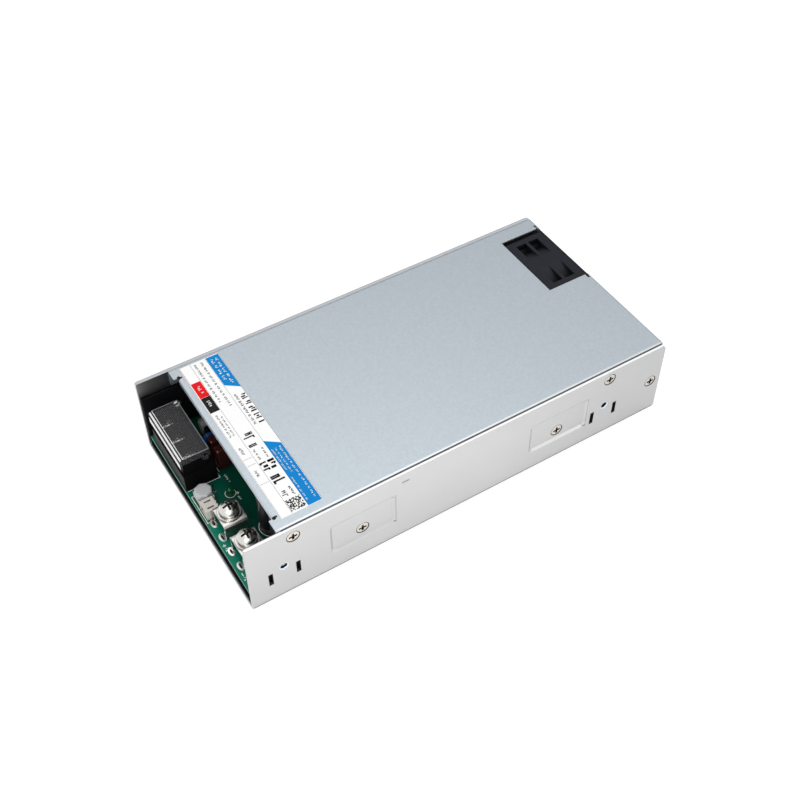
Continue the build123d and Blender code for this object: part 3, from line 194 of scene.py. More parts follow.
def painted_crevice_shade(nodes, links, colour, reach):
    """The colour, darker where other surfaces come within reach, in mm, as painted shade in crevices."""
    open_share = nodes.new("ShaderNodeAmbientOcclusion")
    open_share.samples = CREVICE_SAMPLES
    open_share.inputs["Distance"].default_value = reach * MM
    share = ramp(nodes, links, open_share.outputs["AO"], *CREVICE_SHARE)
    return mix_colour(nodes, links, share, CREVICE_SHADE_COLOUR, colour)


def place_along(nodes, links, axis):
    """The object's own coordinate along one axis."""
    split = nodes.new("ShaderNodeSeparateXYZ")
    links.new(nodes.new("ShaderNodeTexCoord").outputs["Object"], split.inputs[0])
    return split.outputs[axis]


def painted_shade_along_case(nodes, links, colour, shade_span):
    """The colour, darker along the case, as painted shade. Its three numbers are where the darkening starts
    and ends, and the share left.
    """
    start, end, share = shade_span
    along = place_along(nodes, links, "X")
    left = ramp(nodes, links, along, (FRONT + start) * MM, (FRONT + end) * MM, 1.0, share)
    return mix_colour(nodes, links, left, grey(0.0), colour)


def surface(
    name,
    colour,
    rough,
    metal=0.0,
    vary=0.05,
    grain=250.0,
    rough_vary=0.06,
    bump=0.12,
    bump_grain=1400.0,
    depth=0.02,
    edge=0.0,
    shade_reach=0.0,
    draw=(1.0, 1.0, 1.0),
    shade_span=None,
    **fixed,
):
    """A material with mottled colour, uneven gloss, a fine grain and softened edges, with painted shade in
    crevices and painted shade along the case where asked for.
    """
    material = bpy.data.materials.new(name)
    material.use_nodes = True
    nodes, links = material.node_tree.nodes, material.node_tree.links
    shader = nodes["Principled BSDF"]
    place = nodes.new("ShaderNodeTexCoord").outputs["Object"]
    place = stretched(nodes, links, place, draw)
    low = tuple(c * (1.0 - vary) for c in colour) + (1.0,)
    high = tuple(min(1.0, c * (1.0 + vary)) for c in colour) + (1.0,)
    tone = noise(nodes, links, place, grain)
    toned = mix_colour(nodes, links, tone, low, high)
    if shade_reach > 0.0:
        toned = painted_crevice_shade(nodes, links, toned, shade_reach)
    if shade_span:
        toned = painted_shade_along_case(nodes, links, toned, shade_span)
    links.new(toned, shader.inputs["Base Color"])
    gloss_noise = noise(nodes, links, place, grain * GLOSS_GRAIN)
    smooth, dull = max(LEAST_ROUGH, rough - rough_vary), min(1.0, rough + rough_vary)
    links.new(ramp(nodes, links, gloss_noise, low=smooth, high=dull), shader.inputs["Roughness"])
    shader.inputs["Metallic"].default_value = metal
    relief = nodes.new("ShaderNodeBump")
    relief.inputs["Strength"].default_value = bump
    relief.inputs["Distance"].default_value = depth * MM
    links.new(noise(nodes, links, place, bump_grain, FINE_DETAIL), relief.inputs["Height"])
    if edge > 0.0:
        bevel = nodes.new("ShaderNodeBevel")
        bevel.samples = BEVEL_SAMPLES
        bevel.inputs["Radius"].default_value = edge * MM
        links.new(bevel.outputs["Normal"], relief.inputs["Normal"])
    links.new(relief.outputs["Normal"], shader.inputs["Normal"])
    for socket, value in fixed.items():
        shader.inputs[socket.replace("_", " ")].default_value = value
    return material


# Where a reach for shade is given below, painted shade darkens the finish in its crevices.
FINISHES = {
    "chassis_aluminium": surface(
        "chassis_aluminium", (0.568, 0.569, 0.569), 0.30, 1.0, vary=0.03, grain=28.0, edge=0.25, shade_reach=1.2,
        bump=0.10, bump_grain=2600.0,
    ),
    "cover_steel": surface(
        "cover_steel", (0.565, 0.625, 0.672), 0.42, 0.9, vary=0.10, grain=900.0, edge=0.25, shade_reach=0.9,
        bump=0.10, bump_grain=2400.0,
    ),
    "label_print": surface(
        "label_print", (0.99, 0.99, 0.99), 0.5, vary=0.008, grain=300.0, Specular_IOR_Level=0.3,
    ),
    "plated_screws": surface(
        "plated_screws", (0.66, 0.615, 0.55), 0.24, 1.0, vary=0.06, grain=900.0, edge=0.2, shade_reach=1.8,
    ),
    "terminal_plating": surface(
        "terminal_plating", (0.72, 0.70, 0.675), 0.24, 1.0, vary=0.06, grain=350.0, edge=0.25, shade_reach=1.5,
    ),
    "insulation_film": surface(
        "insulation_film", (0.006, 0.006, 0.007), 0.38, vary=0.2, edge=0.15, Specular_IOR_Level=0.12,
    ),
    # Painted shade: the board darkens in its crevices and towards the rear of the case.
    "green_board": surface(
        "green_board", (0.002, 0.195, 0.122), 0.32, vary=0.16, grain=420.0, shade_reach=5.0,
        shade_span=(3.0, 19.0, 0.26), Specular_IOR_Level=0.14,
    ),
    "spacer_metal": surface("spacer_metal", (0.62, 0.60, 0.55), 0.3, 1.0),
    "black_moulding": surface(
        "black_moulding", (0.006, 0.006, 0.0065), 0.34, vary=0.15, edge=0.12, Specular_IOR_Level=0.012,
    ),
    "clear_plastic": surface(
        "clear_plastic", (0.25, 0.25, 0.26), 0.10, vary=0.01, rough_vary=0.02, bump=0.01,
        Alpha=0.12, Specular_IOR_Level=0.12,
    ),
    "white_plastic": surface("white_plastic", (0.68, 0.645, 0.585), 0.42, vary=0.04, edge=0.12, shade_reach=1.6),
    "grey_knob": surface("grey_knob", (0.53, 0.545, 0.55), 0.40, vary=0.04, edge=0.15),
    "pin_metal": surface("pin_metal", (0.72, 0.66, 0.52), 0.25, 1.0),
    "lamp_plastic": surface(
        "lamp_plastic", (0.002, 0.045, 0.018), 0.12, vary=0.1, Emission_Color=(0.0, 0.30, 0.10, 1.0),
        Emission_Strength=0.03,
    ),
    "fan_plastic": surface(
        "fan_plastic", (0.0125, 0.0140, 0.0205), 0.42, vary=0.12, edge=0.2, shade_reach=6.0,
        Specular_IOR_Level=0.20,
    ),
    "axle_steel": surface("axle_steel", (0.6, 0.6, 0.6), 0.22, 1.0),
    "bearing_brass": surface("bearing_brass", (0.62, 0.45, 0.2), 0.3, 1.0),
    "motor_windings": surface("motor_windings", (0.55, 0.22, 0.08), 0.35, 0.9, grain=1500.0, vary=0.3),
    "fuse_glass": surface(
        "fuse_glass", (0.80, 0.84, 0.84), 0.06, vary=0.02, Transmission_Weight=0.7, IOR=1.5,
    ),
    "blue_coating": surface("blue_coating", (0.008, 0.07, 0.32), 0.3, vary=0.12),
    "dark_coating": surface("dark_coating", (0.03, 0.035, 0.03), 0.35, vary=0.15),
    "red_brown_coating": surface("red_brown_coating", (0.045, 0.009, 0.008), 0.24, vary=0.15, edge=0.3),
    "capacitor_box": surface("capacitor_box", (0.42, 0.36, 0.22), 0.4, vary=0.06, edge=0.2),
    "ferrite": surface("ferrite", (0.045, 0.045, 0.048), 0.55, vary=0.15, bump=0.3),
    "copper_wire": surface("copper_wire", (0.60, 0.24, 0.09), 0.3, 0.9, vary=0.25, grain=1200.0),
    "bobbin_plastic": surface("bobbin_plastic", (0.03, 0.03, 0.03), 0.45, vary=0.15),
    "coil_tape": surface("coil_tape", (0.62, 0.48, 0.10), 0.32, vary=0.06),
    "can_sleeve": surface("can_sleeve", (0.016, 0.016, 0.02), 0.3, vary=0.15, edge=0.3),
    "heatsink_aluminium": surface("heatsink_aluminium", (0.6, 0.6, 0.6), 0.4, 0.9, draw=(1.0, 1.0, 12.0)),
}
BLUE_INK = surface("blue_ink", (0.002, 0.235, 0.63), 0.5, vary=0.03, Specular_IOR_Level=0.12)
RED_INK = surface("red_ink", (0.80, 0.008, 0.012), 0.5, vary=0.03, Specular_IOR_Level=0.12)
# Black for print, and also painted shade in the pads' holes, deep in the tapped holes, over the cover's
# reliefs and in the gaps round the fan.
BLACK_INK_AND_SHADE = surface("black_ink_and_shade", (0.014, 0.012, 0.013), 0.5, vary=0.1, Specular_IOR_Level=0.12)
GREY_INK = surface("grey_ink", (0.10, 0.10, 0.105), 0.5, vary=0.1, Specular_IOR_Level=0.12)
WHITE_INK = surface("white_ink", (0.95, 0.955, 0.96), 0.5, vary=0.02)
TINNED_PAD = surface("tinned_pad", (0.80, 0.79, 0.76), 0.22, 1.0, vary=0.08, bump=0.3)
# Painted highlight: the rims of the tapped holes are a lighter, bluer metal than the wall.
RIM_HIGHLIGHT = surface("rim_highlight", (0.66, 0.72, 0.80), 0.16, 1.0, vary=0.05, edge=0.1)
SHADOW = surface("shadow_line", (0.085, 0.10, 0.12), 0.6, vary=0.1, Specular_IOR_Level=0.1)
# Painted shade in the gaps round the countersunk screws and on the floors of the cross recesses.
GAP_SHADE = surface("gap_shade", (0.075, 0.062, 0.05), 0.5, vary=0.1, Specular_IOR_Level=0.1)
# Painted highlight on the near wall's top edge, the panels' lower slopes and the clear cover's front and
# rolled edge.
SHEEN = surface("edge_highlight", (0.99, 0.99, 0.985), 0.4, vary=0.01)
# Painted highlight on the cover's near bend, darker along the case.
BEND_LIGHT = surface("bend_light", (0.97, 0.98, 0.985), 0.4, vary=0.01, shade_span=(60.0, 185.0, 0.72))
# Painted highlight on the other slopes of the panels.
PALE_HIGHLIGHT = surface("pale_highlight", (0.86, 0.86, 0.855), 0.4, vary=0.03)
# Painted light over the shade of the far seam and of the wall slits.
SEAM_LIGHT = surface("seam_light", (0.50, 0.53, 0.56), 0.5, vary=0.05)
# Painted shade along the rounded foot of the walls.
FOOT_SHADE = surface("foot_shade", (0.12, 0.13, 0.145), 0.6, vary=0.08, Specular_IOR_Level=0.1)
# Painted shade in thin lines beside the panels.
LINE_SHADE = surface("line_shade", (0.17, 0.18, 0.20), 0.5, vary=0.08)
# Painted highlight on the top edges of the clear cover.
SOFT_SHEEN = surface("soft_highlight", (0.22, 0.225, 0.235), 0.4, vary=0.05)


def put_finishes():
    """Gives each CAD node the material of its slot in the record."""
    for part in frame["record"]["subparts"]:
        mesh = frame["nodes"][part["node"]].data
        mesh.materials.clear()
        mesh.materials.append(FINISHES[part["material_slot"]])


def keep(piece, body=CASE):
    """Attaches a piece of this scene to the empty of its body."""
    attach(piece, body)
    return piece


def mesh_piece(name, points, faces, paints, indices=None):
    """A mesh object from points in mm, with a material index for each face."""
    mesh = bpy.data.meshes.new(name)
    mesh.from_pydata([Vector(p) * MM for p in points], [], faces)
    for paint in paints:
        mesh.materials.append(paint)
    for number, face in enumerate(mesh.polygons):
        face.material_index = indices[number] if indices else 0
    mesh.update()
    piece = bpy.data.objects.new(name, mesh)
    bpy.context.scene.collection.objects.link(piece)
    return piece


def flat_print(name, groups, height):
    """Flat shapes at one height. Groups are (material, outlines in u and y), u counted from the front."""
    points, faces, indices = [], [], []
    for number, (_, outlines) in enumerate(groups):
        for outline in outlines:
            start = len(points)
            area = sum((b[0] - a[0]) * (b[1] + a[1]) for a, b in zip(outline, outline[1:] + outline[:1]))
            ordered = outline if area < 0 else outline[::-1]
            points += [(FRONT + u, y, height + number * PRINT_STEP) for u, y in ordered]
            faces.append(list(range(start, len(points))))
            indices.append(number)
    return mesh_piece(name, points, faces, [paint for paint, _ in groups], indices)


def bar(u0, u1, y0, y1):
    """The outline of a rectangle."""
    return [(u0, y0), (u1, y0), (u1, y1), (u0, y1)]


def stroke(points, width):
    """A line of short flat bars along the points."""
    bars = []
    for (u0, y0), (u1, y1) in zip(points, points[1:]):
        length = math.hypot(u1 - u0, y1 - y0)
        nu, ny = -(y1 - y0) / length * width / 2, (u1 - u0) / length * width / 2
        bars.append([(u0 + nu, y0 + ny), (u1 + nu, y1 + ny), (u1 - nu, y1 - ny), (u0 - nu, y0 - ny)])
    return bars


def oval(u, v, half_u, half_v, sides=24):
    """The outline of an oval, or of a circle."""
    return [
        (u + half_u * math.cos(math.tau * k / sides), v + half_v * math.sin(math.tau * k / sides))
        for k in range(sides)
    ]


def circle_line(u, y, radius, width, sides=40):
    """A ring drawn with short bars."""
    points = oval(u, y, radius, radius, sides)
    return stroke(points + points[:1], width)


def dashes(u, y_start, y_end, width, dash=0.55, gap=0.35):
    """A dashed line across the case."""
    bars = []
    y = y_start
    while y > y_end:
        bars.append(bar(u - width / 2, u + width / 2, max(y - dash, y_end), y))
        y -= dash + gap
    return bars


WORD_LENGTHS = (5, 3, 6, 4, 2, 7, 3, 5)
LETTER_WIDTH = 0.68
RAISED_FOOT = 0.3
LOWERED_HEAD = 0.25


def words(u0, u1, y_start, y_end, letter=0.62, shift=0, weight=0.26):
    """A row of small plain strokes in groups, which stands for a line of print."""
    bars = []
    y, number, left = y_start, shift, WORD_LENGTHS[shift % len(WORD_LENGTHS)]
    height = u1 - u0
    thick = letter * weight
    while y - letter > y_end:
        low = u0 + height * (RAISED_FOOT if number % 3 == 1 else 0.0)
        high = u1 - height * (LOWERED_HEAD if number % 4 == 2 else 0.0)
        end = y - letter * LETTER_WIDTH
        bars.append(bar(low, high, y - thick, y))
        if number % 2 == 0:
            bars.append(bar(low, high, end, end + thick))
        level = (low, (low + high) / 2, high - thick)[number % 3]
        bars.append(bar(level, level + thick, end, y))
        y -= letter
        number += 1
        left -= 1
        if left == 0:
            y -= letter
            left = WORD_LENGTHS[number % len(WORD_LENGTHS)]
    return bars


# Rows of strokes on the label: ink, u from and to, y from and to, letter, first word, weight
LABEL_ROWS = (
    ("black", 32.2, 33.3, 21.7, 1.3, 0.62, 2, 0.32),
    ("black", 34.3, 36.8, 20.6, 1.6, 1.15, 1, 0.50),
    ("black", 24.9, 29.4, 0.4, -8.2, 2.1, 4, 0.30),
    ("black", 25.3, 26.2, -8.8, -15.2, 0.6, 1, 0.34),
    ("black", 28.6, 29.5, -9.4, -15.6, 0.6, 4, 0.34),
    ("black", 24.3, 27.1, -16.4, -23.4, 1.8, 3, 0.42),
    ("black", 27.7, 30.5, -16.4, -23.4, 1.8, 0, 0.42),
    ("black", 24.8, 29.9, -24.6, -31.6, 2.6, 2, 0.32),
    ("black", 24.6, 26.8, -33.2, -37.2, 1.9, 4, 0.20),
    ("black", 28.6, 29.6, -32.4, -37.4, 0.8, 2, 0.36),
    ("grey", 20.6, 21.4, 15.3, 1.3, 0.6, 0, 0.34),
    ("grey", 22.2, 22.9, 13.7, 1.4, 0.6, 4, 0.34),
    ("grey", 25.3, 26.3, 45.8, 21.0, 0.62, 0, 0.34),
    ("grey", 28.2, 29.2, 45.8, 16.7, 0.64, 3, 0.34),
    ("grey", 20.8, 21.9, -5.3, -9.6, 0.7, 2, 0.34),
    ("grey", 20.8, 21.9, -18.9, -22.9, 0.7, 5, 0.34),
    ("white", 32.6, 33.8, 45.0, 29.4, 1.0, 1, 0.32),
    ("white", 34.6, 35.8, 45.0, 27.6, 1.0, 4, 0.32),
    ("white", 31.7, 32.4, -12.6, -26.1, 0.62, 2, 0.34),
    ("white", 31.7, 32.4, -29.1, -43.0, 0.62, 5, 0.34),
    ("white", 33.2, 33.9, -12.6, -27.2, 0.62, 1, 0.34),
    ("white", 35.0, 35.8, -12.6, -42.7, 0.66, 0, 0.34),
    ("white", 21.0, 22.4, 33.8, 29.1, 0.9, 1, 0.30),
    ("white", 21.0, 22.4, 24.4, 19.7, 0.9, 3, 0.30),
)
CELL_COUNT = 14
CELL_CORNER = (24.2, -43.9)
CELL_PITCH = (0.45, 0.42)
CELL_SIZE = (0.46, 0.43)


def dotted_patch():
    """A square patch of dark cells in no order."""
    cells = []
    for i in range(CELL_COUNT):
        for j in range(CELL_COUNT):
            if (i * 73 + j * 151 + i * j * 37 + i * i * 11) % 101 < 56:
                u, y = CELL_CORNER[0] + CELL_PITCH[0] * i, CELL_CORNER[1] + CELL_PITCH[1] * j
                cells.append(bar(u, u + CELL_SIZE[0], y, y + CELL_SIZE[1]))
    return cells


def make_label_print():
    """The label's fields of colour, its ruled lines and plain bars where the print was."""
    marks = {
        "blue": [
            [(31.3, 46.9), (37.0, 46.9), (37.0, 24.5), (31.3, 28.7)],
            [(31.0, -6.8), (36.9, -11.2), (36.9, -44.6), (31.0, -44.6)],
        ],
        "red": [bar(19.5, 23.8, 26.9, 36.4)] + dashes(19.4, 46.9, 36.6, 0.25, 0.45, 0.45),
        "black": [bar(19.5, 23.8, 17.4, 26.8)] + dashes(19.4, 17.2, -44.6, 0.12, 0.4, 0.5),
        "grey": [],
        "white": [],
    }
    for line in (24.0, 31.1, 37.1):
        marks["black"] += dashes(line, 46.9, -44.6, 0.16, 0.5, 0.3)
    for ink, *row in LABEL_ROWS:
        marks[ink] += words(*row)
    marks["black"] += dotted_patch()
    marks["grey"] += [bar(19.8, 23.6, y, y + 0.12) for y in (-11.9, -15.5, -26.3)]
    inks = {"blue": BLUE_INK, "red": RED_INK, "black": BLACK_INK_AND_SHADE, "grey": GREY_INK, "white": WHITE_INK}
    groups = [(inks[ink], outlines) for ink, outlines in marks.items()]
    keep(flat_print("label_fields", groups, LABEL_TOP + PRINT_GAP))


# White lines on the board: width and points
BOARD_LINES = (
    (0.28, (1.3, 10.9), (16.5, 10.9), (16.5, 43.6)),
    (0.28, (3.6, 6.9), (1.5, 7.6), (1.5, -6.8), (1.5, -8.6)),
    (0.22, (1.0, -8.2), (8.3, -8.2), (8.3, 0.4), (1.0, 0.4)),
    (0.3, (18.3, -0.5), (19.7, -0.5)),
    (0.3, (19.0, -1.2), (19.0, 0.2)),
    (0.35, (2.3, -21.2), (2.3, -22.7)),
    (0.35, (1.55, -21.95), (3.05, -21.95)),
    (0.35, (2.3, -37.4), (2.3, -39.2)),
    (0.2, (1.3, 13.0), (1.3, 41.5)),
    (0.2, (17.4, 13.5), (17.4, 26.0)),
)
BOARD_CIRCLES = ((23.5, -23.2, 5.5, 0.3, 40), (23.5, -34.4, 5.5, 0.3, 40), (16.3, 0.8, 2.3, 0.24, 28))
BOARD_ROWS = (
    (18.2, 19.1, 11.0, 5.9, 0.8, 3, 0.26),
    (18.2, 19.0, -2.2, -5.2, 0.8, 2, 0.26),
    (1.7, 2.9, -23.4, -25.4, 0.9, 1, 0.32),
    (1.7, 2.9, -39.8, -41.8, 0.9, 1, 0.32),
)
SMALL_PADS = ((11.3, 8.2), (11.3, 5.6), (13.9, -6.3), (13.9, -3.7), (15.7, -41.0), (18.5, -41.0))


def make_board_print():
    """White print and tinned pads on the circuit board, with painted shade in the pads' holes."""
    ink, pads, holes = [], [], []
    for width, *points in BOARD_LINES:
        ink += stroke(points, width)
    for line in BOARD_CIRCLES:
        ink += circle_line(*line)
    for row in BOARD_ROWS:
        ink += words(*row)
    for terminal_y in TERMINAL_PLACES:
        for offset in PAD_OFFSETS:
            pads.append(oval(PAD_ROW, terminal_y + offset, 1.35, 2.4))
            # Painted shade in the holes of the pads, here and below.
            holes.append(oval(PAD_ROW, terminal_y + offset, 0.5, 1.35))
    for place in SMALL_PADS:
        pads.append(oval(*place, 0.8, 0.8, 16))
        holes.append(oval(*place, 0.3, 0.3, 12))
    groups = ((WHITE_INK, ink), (TINNED_PAD, pads), (BLACK_INK_AND_SHADE, holes))
    keep(flat_print("board_print", groups, BOARD_TOP + PRINT_GAP))


def joined(name, groups, body=CASE):
    """One piece of several (material, points, faces) groups."""
    points, faces, indices, paints = [], [], [], []
    for paint, more, corners in groups:
        if paint not in paints:
            paints.append(paint)
        start = len(points)
        points += more
        faces += [tuple(start + k for k in face) for face in corners]
        indices += [paints.index(paint)] * len(corners)
    return keep(mesh_piece(name, points, faces, paints, indices), body)


def outward(corners, side):
    """The corners in the order that looks away from the middle of the case."""
    return corners if side < 0 else corners[::-1]


def turned(u, z, path, side, steps=32):
    """A surface round an axis across the case, by (radius, distance from the middle) pairs."""
    circles = [oval(u, z, radius, radius, steps) for radius, _ in path]
    rows = len(path)
    points = [
        (FRONT + circles[row][k][0], side * path[row][1], circles[row][k][1])
        for k in range(steps)
        for row in range(rows)
    ]
    faces = []
    for k in range(steps):
        here, there = rows * k, rows * ((k + 1) % steps)
        for row in range(rows - 1):
            faces.append(outward((here + row, here + row + 1, there + row + 1, there + row), side))
    return points, faces


def make_wall_details():
    """Drawn rims of the tapped holes in a lighter, bluer metal as painted highlight, painted shade deep in
    the tapped holes, and painted shade in the gaps round the countersunk screws.
    """
    rim = [(radius, WALL_OUT + rise) for radius, rise in RIM_PROFILE]
    after = [(k + 1) % THREAD_STEPS for k in range(THREAD_STEPS)]
    liner_faces = [(k, after[k], THREAD_STEPS + after[k], THREAD_STEPS + k) for k in range(THREAD_STEPS)]
    rims, shade_liners, gaps = [], [], []
    for side in (-1, 1):
        for u in TAPPED_PLACES:
            rims.append((RIM_HIGHLIGHT, *turned(u, TAPPED_LEVEL, rim, side)))
            # Painted shade: a black liner deep in each tapped hole.
            circle = oval(u, TAPPED_LEVEL, TAPPED_RADIUS, TAPPED_RADIUS, THREAD_STEPS)
            points = [(FRONT + x, side * (WALL_OUT - depth), z) for depth in THREAD_SHADE_DEPTHS for x, z in circle]
            shade_liners.append((BLACK_INK_AND_SHADE, points, liner_faces))
        # Painted shade in the gap round each countersunk screw.
        for u, z, face in SCREW_PLACES:
            gap = [(radius, face - SCREW_GAP_DEPTH) for radius in SCREW_GAP]
            gaps.append((GAP_SHADE, *turned(u, z, gap, side)))
    for polygon in joined("hole_rims", rims).data.polygons:
        polygon.use_smooth = True
    joined("hole_shade", shade_liners)
    joined("screw_gap_shade", gaps)


def strip(corners):
    """One flat face by its corners, u counted from the front."""
    return [(FRONT + u, y, z) for u, y, z in corners], [(0, 1, 2, 3)]


def plate(u0, u1, y0, y1, z):
    """A flat level rectangle."""
    return strip([(u, y, z) for u, y in bar(u0, u1, y0, y1)])


def wall_bar(u0, u1, z0, z1, side, face=WALL_OUT + PRINT_GAP):
    """An upright rectangle on a side wall."""
    return strip(outward([(u, side * face, z) for u, z in bar(u0, u1, z0, z1)], side))


def arc(y, z, radius, angles):
    """Points on an arc across the case, by angles in degrees from straight up towards the outside."""
    return [(y + radius * math.sin(math.radians(a)), z + radius * math.cos(math.radians(a))) for a in angles]


def band(u0, u1, side, path):
    """A band along the case that follows (y, z) points, with y counted outwards."""
    points = [(FRONT + u, side * y, z) for y, z in path for u in (u0, u1)]
    faces = [outward((2 * k, 2 * k + 1, 2 * k + 3, 2 * k + 2), side) for k in range(len(path) - 1)]
    return points, faces


def panel_edges(centre, side):
    """Painted highlights on the sloping edges of a recessed panel, and painted shade in the dark lines beside
    them.
    """
    out = WALL_OUT + PRINT_GAP
    u0, u1 = centre - PANEL_HALF_LENGTH, centre + PANEL_HALF_LENGTH
    z0, z1 = PANEL_LEVEL - PANEL_HALF_HEIGHT, PANEL_LEVEL + PANEL_HALF_HEIGHT
    outer = bar(u0, u1, z0, z1)
    inner = bar(u0 + PANEL_SLOPE, u1 - PANEL_SLOPE, z0 + PANEL_SLOPE, z1 - PANEL_SLOPE)
    groups = []
    for k, paint in enumerate((SHEEN, PALE_HIGHLIGHT, PALE_HIGHLIGHT, PALE_HIGHLIGHT)):
        after = (k + 1) % 4
        corners = [(u, side * out, z) for u, z in (outer[k], outer[after])]
        corners += [(u, side * (out - PANEL_DEPTH), z) for u, z in (inner[after], inner[k])]
        groups.append((paint, *strip(outward(corners, side))))
    foot = z0 + PANEL_SLOPE
    lines = (
        (LINE_SHADE, u0 + PANEL_SLOPE, u1 - PANEL_SLOPE, foot, foot + THIN_LINE, out - PANEL_DEPTH),
        (LINE_SHADE, u1, u1 + THIN_LINE, z0 - 0.1, z1, out),
        (SHADOW, u1 - 0.9, u1 + THIN_LINE, z0 - 0.15, z0 + 0.45, out),
    )
    return groups + [(paint, *wall_bar(*ends, side, face)) for paint, *ends, face in lines]


def make_edge_light_and_shade():
    """Painted highlights on the upper edge of the near wall and on the cover's near bend, painted shadow in
    the near seam under the cover, painted light over the far seam and the wall slits, painted shade along the
    foot of the walls, and painted light and shade on the edges of the panels.
    """
    bend = arc(*COVER_BEND, (42, 32, 22, 12))
    foot = arc(*FLOOR_BEND, (132, 123, 114, 105, 96))
    groups = [
        (SHEEN, *band(0.3, 202.8, -1, [(50.68, 40.02), (49.55, 40.02)])),
        (SHADOW, *band(16.4, 201.9, -1, [(49.62, 40.03), (48.88, 40.14)])),
        (BEND_LIGHT, *band(16.4, 202.6, -1, bend)),
        (SEAM_LIGHT, *band(0.3, 202.6, 1, [(50.6, 40.02), (48.95, 40.10)])),
    ]
    for side in (-1, 1):
        groups.append((FOOT_SHADE, *band(0.6, 202.5, side, foot)))
        groups.append((SEAM_LIGHT, *wall_bar(69.25, 72.55, 34.75, 35.55, side, WALL_OUT - 0.12)))
        for centre in PANEL_PLACES:
            groups += panel_edges(centre, side)
    joined("painted_edge_marks", groups)


def make_relief_shadows():
    """Painted shade: dark discs over the round reliefs beside the ears of the cover."""
    groups = []
    for side in (-1, 1):
        outline = oval(17.0, side * 42.9, 0.8, 0.8, 20)
        points = [(FRONT + u, y, COVER_TOP + PRINT_GAP) for u, y in outline]
        groups.append((BLACK_INK_AND_SHADE, points, [tuple(range(len(points)))]))
    joined("cover_relief_shade", groups)


def make_guard_sheen():
    """Painted highlights on the edges of the clear cover over the mains terminals."""
    near, far = GUARD_SIDES
    roll_u, roll_z, radius = GUARD_ROLL
    low, high = GUARD_LIT_LEVELS
    profiles = [((GUARD_FRONT, low), (GUARD_FRONT, high))]
    for angles in ((35.0, 62.0), (84.0, 92.0)):
        turns = [math.radians(angle) for angle in angles]
        profiles.append([(roll_u - radius * math.cos(t), roll_z + radius * math.sin(t)) for t in turns])
    groups = [
        (SHEEN, *strip([(u0, far, z0), (u0, near, z0), (u1, near, z1), (u1, far, z1)]))
        for (u0, z0), (u1, z1) in profiles
    ]
    for ends in ((2.8, 14.2, 42.85, 43.15), (2.8, 14.2, 11.45, 11.95), (13.9, 14.25, 11.9, 42.8)):
        groups.append((SOFT_SHEEN, *plate(*ends, GUARD_TOP)))
    joined("guard_highlights", groups, GUARD_BODY)


def make_fan_shade():
    """Painted shade: dark sheets in the gaps round the fan, a dark strip on the edge behind it, and a dark
    bar on the cover beside it.
    """
    plates = (
        (181.0, 182.28, 2.6, 48.2, 37.6), (182.28, 202.2, 40.92, 48.2, 37.6),
        (202.25, 203.04, 3.35, 41.05, 39.33), (200.9, 202.1, 1.9, 3.4, COVER_TOP + PRINT_GAP),
    )
    joined("fan_gap_shade", [(BLACK_INK_AND_SHADE, *plate(*ends)) for ends in plates])


def make_recess_shade():
    """Painted shade on the floors of the cross recesses of the output screws."""
    groups = []
    for y in TERMINAL_PLACES:
        for half_u, half_y in RECESS_ARMS:
            ends = (TERMINAL_SCREW - half_u, TERMINAL_SCREW + half_u, y - half_y, y + half_y)
            groups.append((GAP_SHADE, *plate(*ends, RECESS_FLOOR)))
    joined("recess_floor_shade", groups)


def make_camera():
    """The camera at the photograph's place."""
    azimuth, elevation, roll = (math.radians(a) for a in (CAMERA_AZIMUTH, CAMERA_ELEVATION, CAMERA_ROLL))
    level = math.cos(elevation)
    back = Vector((math.sin(azimuth) * level, -math.cos(azimuth) * level, math.sin(elevation)))
    flat = Vector((math.cos(azimuth), math.sin(azimuth), 0.0))
    rise = back.cross(flat)
    right = flat * math.cos(roll) + rise * math.sin(roll)
    up = rise * math.cos(roll) - flat * math.sin(roll)
    place = Vector((0.0, 0.0, CAMERA_AIM_HEIGHT)) + back * CAMERA_DISTANCE
    place = place + right * CAMERA_SIDE + up * CAMERA_RISE
    camera = bpy.data.objects.new("camera", bpy.data.cameras.new("camera"))
    camera.data.lens = CAMERA_LENS
    camera.data.sensor_width = CAMERA_SENSOR
    camera.data.clip_start = CAMERA_NEAR
    axes = Matrix((right, up, back)).transposed().to_4x4()
    camera.matrix_world = Matrix.Translation(place * MM) @ axes
    bpy.context.scene.collection.objects.link(camera)
    bpy.context.scene.camera = camera


def ray_share(nodes, links, *kinds):
    """1 for rays of any of the kinds named, by the Light Path node's sockets."""
    path = nodes.new("ShaderNodeLightPath")
    total = path.outputs[kinds[0]]
    for kind in kinds[1:]:
        total = combine(nodes, links, "MAXIMUM", total, path.outputs[kind])
    return total


def fixed_colour(nodes, colour):
    """A socket with a fixed colour."""
    node = nodes.new("ShaderNodeRGB")
    node.outputs[0].default_value = colour
    return node.outputs[0]


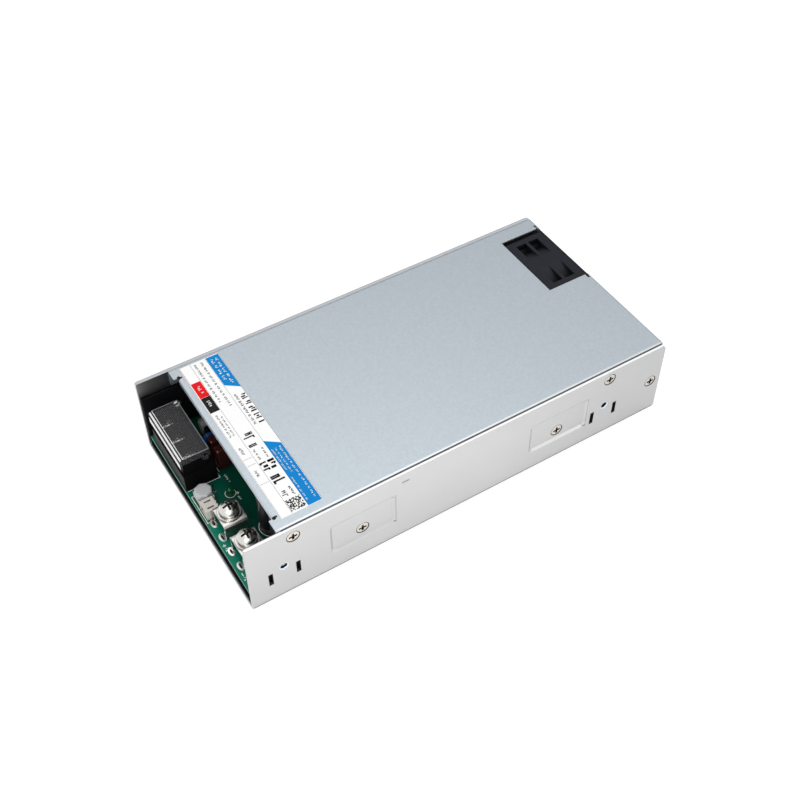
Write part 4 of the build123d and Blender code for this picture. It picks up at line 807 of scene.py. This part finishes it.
def make_surround():
    """A white background, with even light and a darker far side in reflections."""
    world = bpy.data.worlds.new("studio")
    bpy.context.scene.world = world
    world.use_nodes = True
    nodes, links = world.node_tree.nodes, world.node_tree.links
    away = nodes.new("ShaderNodeVectorMath")
    away.operation = "DOT_PRODUCT"
    away.inputs[1].default_value = FAR_WAY
    links.new(nodes.new("ShaderNodeTexCoord").outputs["Generated"], away.inputs[0])
    fall = ramp(nodes, links, away.outputs["Value"], FAR_START, FAR_END)
    sky = mix_colour(nodes, links, fall, grey(1.0), FAR_SKY)
    ambient = fixed_colour(nodes, grey(AMBIENT))
    glossy = ray_share(nodes, links, "Is Glossy Ray", "Is Transmission Ray")
    lit = mix_colour(nodes, links, glossy, ambient, sky)
    camera = ray_share(nodes, links, "Is Camera Ray")
    seen = mix_colour(nodes, links, camera, lit, fixed_colour(nodes, grey(1.0)))
    links.new(seen, nodes["Background"].inputs["Color"])


def make_floor():
    """A pale floor that keeps the shadow, with a glow of its own to the eye and in reflections, where painted
    shadow makes the glow darker towards the rear and towards the foot of the near wall.
    """
    corners = [(u, y, FLOOR_LEVEL) for u, y in bar(-FLOOR_HALF, FLOOR_HALF, -FLOOR_HALF, FLOOR_HALF)]
    paint = bpy.data.materials.new("floor_white")
    floor = mesh_piece("floor", corners, [(0, 1, 2, 3)], [paint])
    paint.use_nodes = True
    nodes, links = paint.node_tree.nodes, paint.node_tree.links
    shader = nodes["Principled BSDF"]
    shader.inputs["Roughness"].default_value = FLOOR_ROUGH
    shader.inputs["Emission Color"].default_value = grey(1.0)
    camera = ray_share(nodes, links, "Is Camera Ray", "Is Transmission Ray")
    glow = combine(nodes, links, "MULTIPLY", camera, FLOOR_GLOW)
    fall = ramp(nodes, links, place_along(nodes, links, "X"), *GLOW_FALL, REFLECTED_GLOW, REAR_SHADE_GLOW)
    foot = ramp(nodes, links, place_along(nodes, links, "Y"), *FOOT_FALL, 1.0, FOOT_SHADOW_GLOW)
    shadowed_glow = combine(nodes, links, "MULTIPLY", fall, foot)
    glossy = ray_share(nodes, links, "Is Glossy Ray")
    reflected = combine(nodes, links, "MULTIPLY", glossy, shadowed_glow)
    total = combine(nodes, links, "MAXIMUM", glow, reflected)
    links.new(total, shader.inputs["Emission Strength"])
    seen = mix_colour(nodes, links, camera, grey(FLOOR_PALE), grey(FLOOR_SHADE))
    links.new(seen, shader.inputs["Base Color"])


def make_lamps():
    """Soft square lamps that look at the middle of the part."""
    for name, place, size, power in LAMPS:
        light = bpy.data.lights.new(name, "AREA")
        light.size = size
        light.energy = power
        lamp = bpy.data.objects.new(name, light)
        lamp.location = place
        lamp.rotation_euler = Vector(place).to_track_quat("Z", "Y").to_euler()
        bpy.context.scene.collection.objects.link(lamp)


put_finishes()
make_label_print()
make_board_print()
make_wall_details()
make_edge_light_and_shade()
make_relief_shadows()
make_guard_sheen()
make_fan_shade()
make_recess_shade()
make_camera()
make_surround()
make_floor()
make_lamps()
bpy.context.scene.view_settings.view_transform = "Standard"
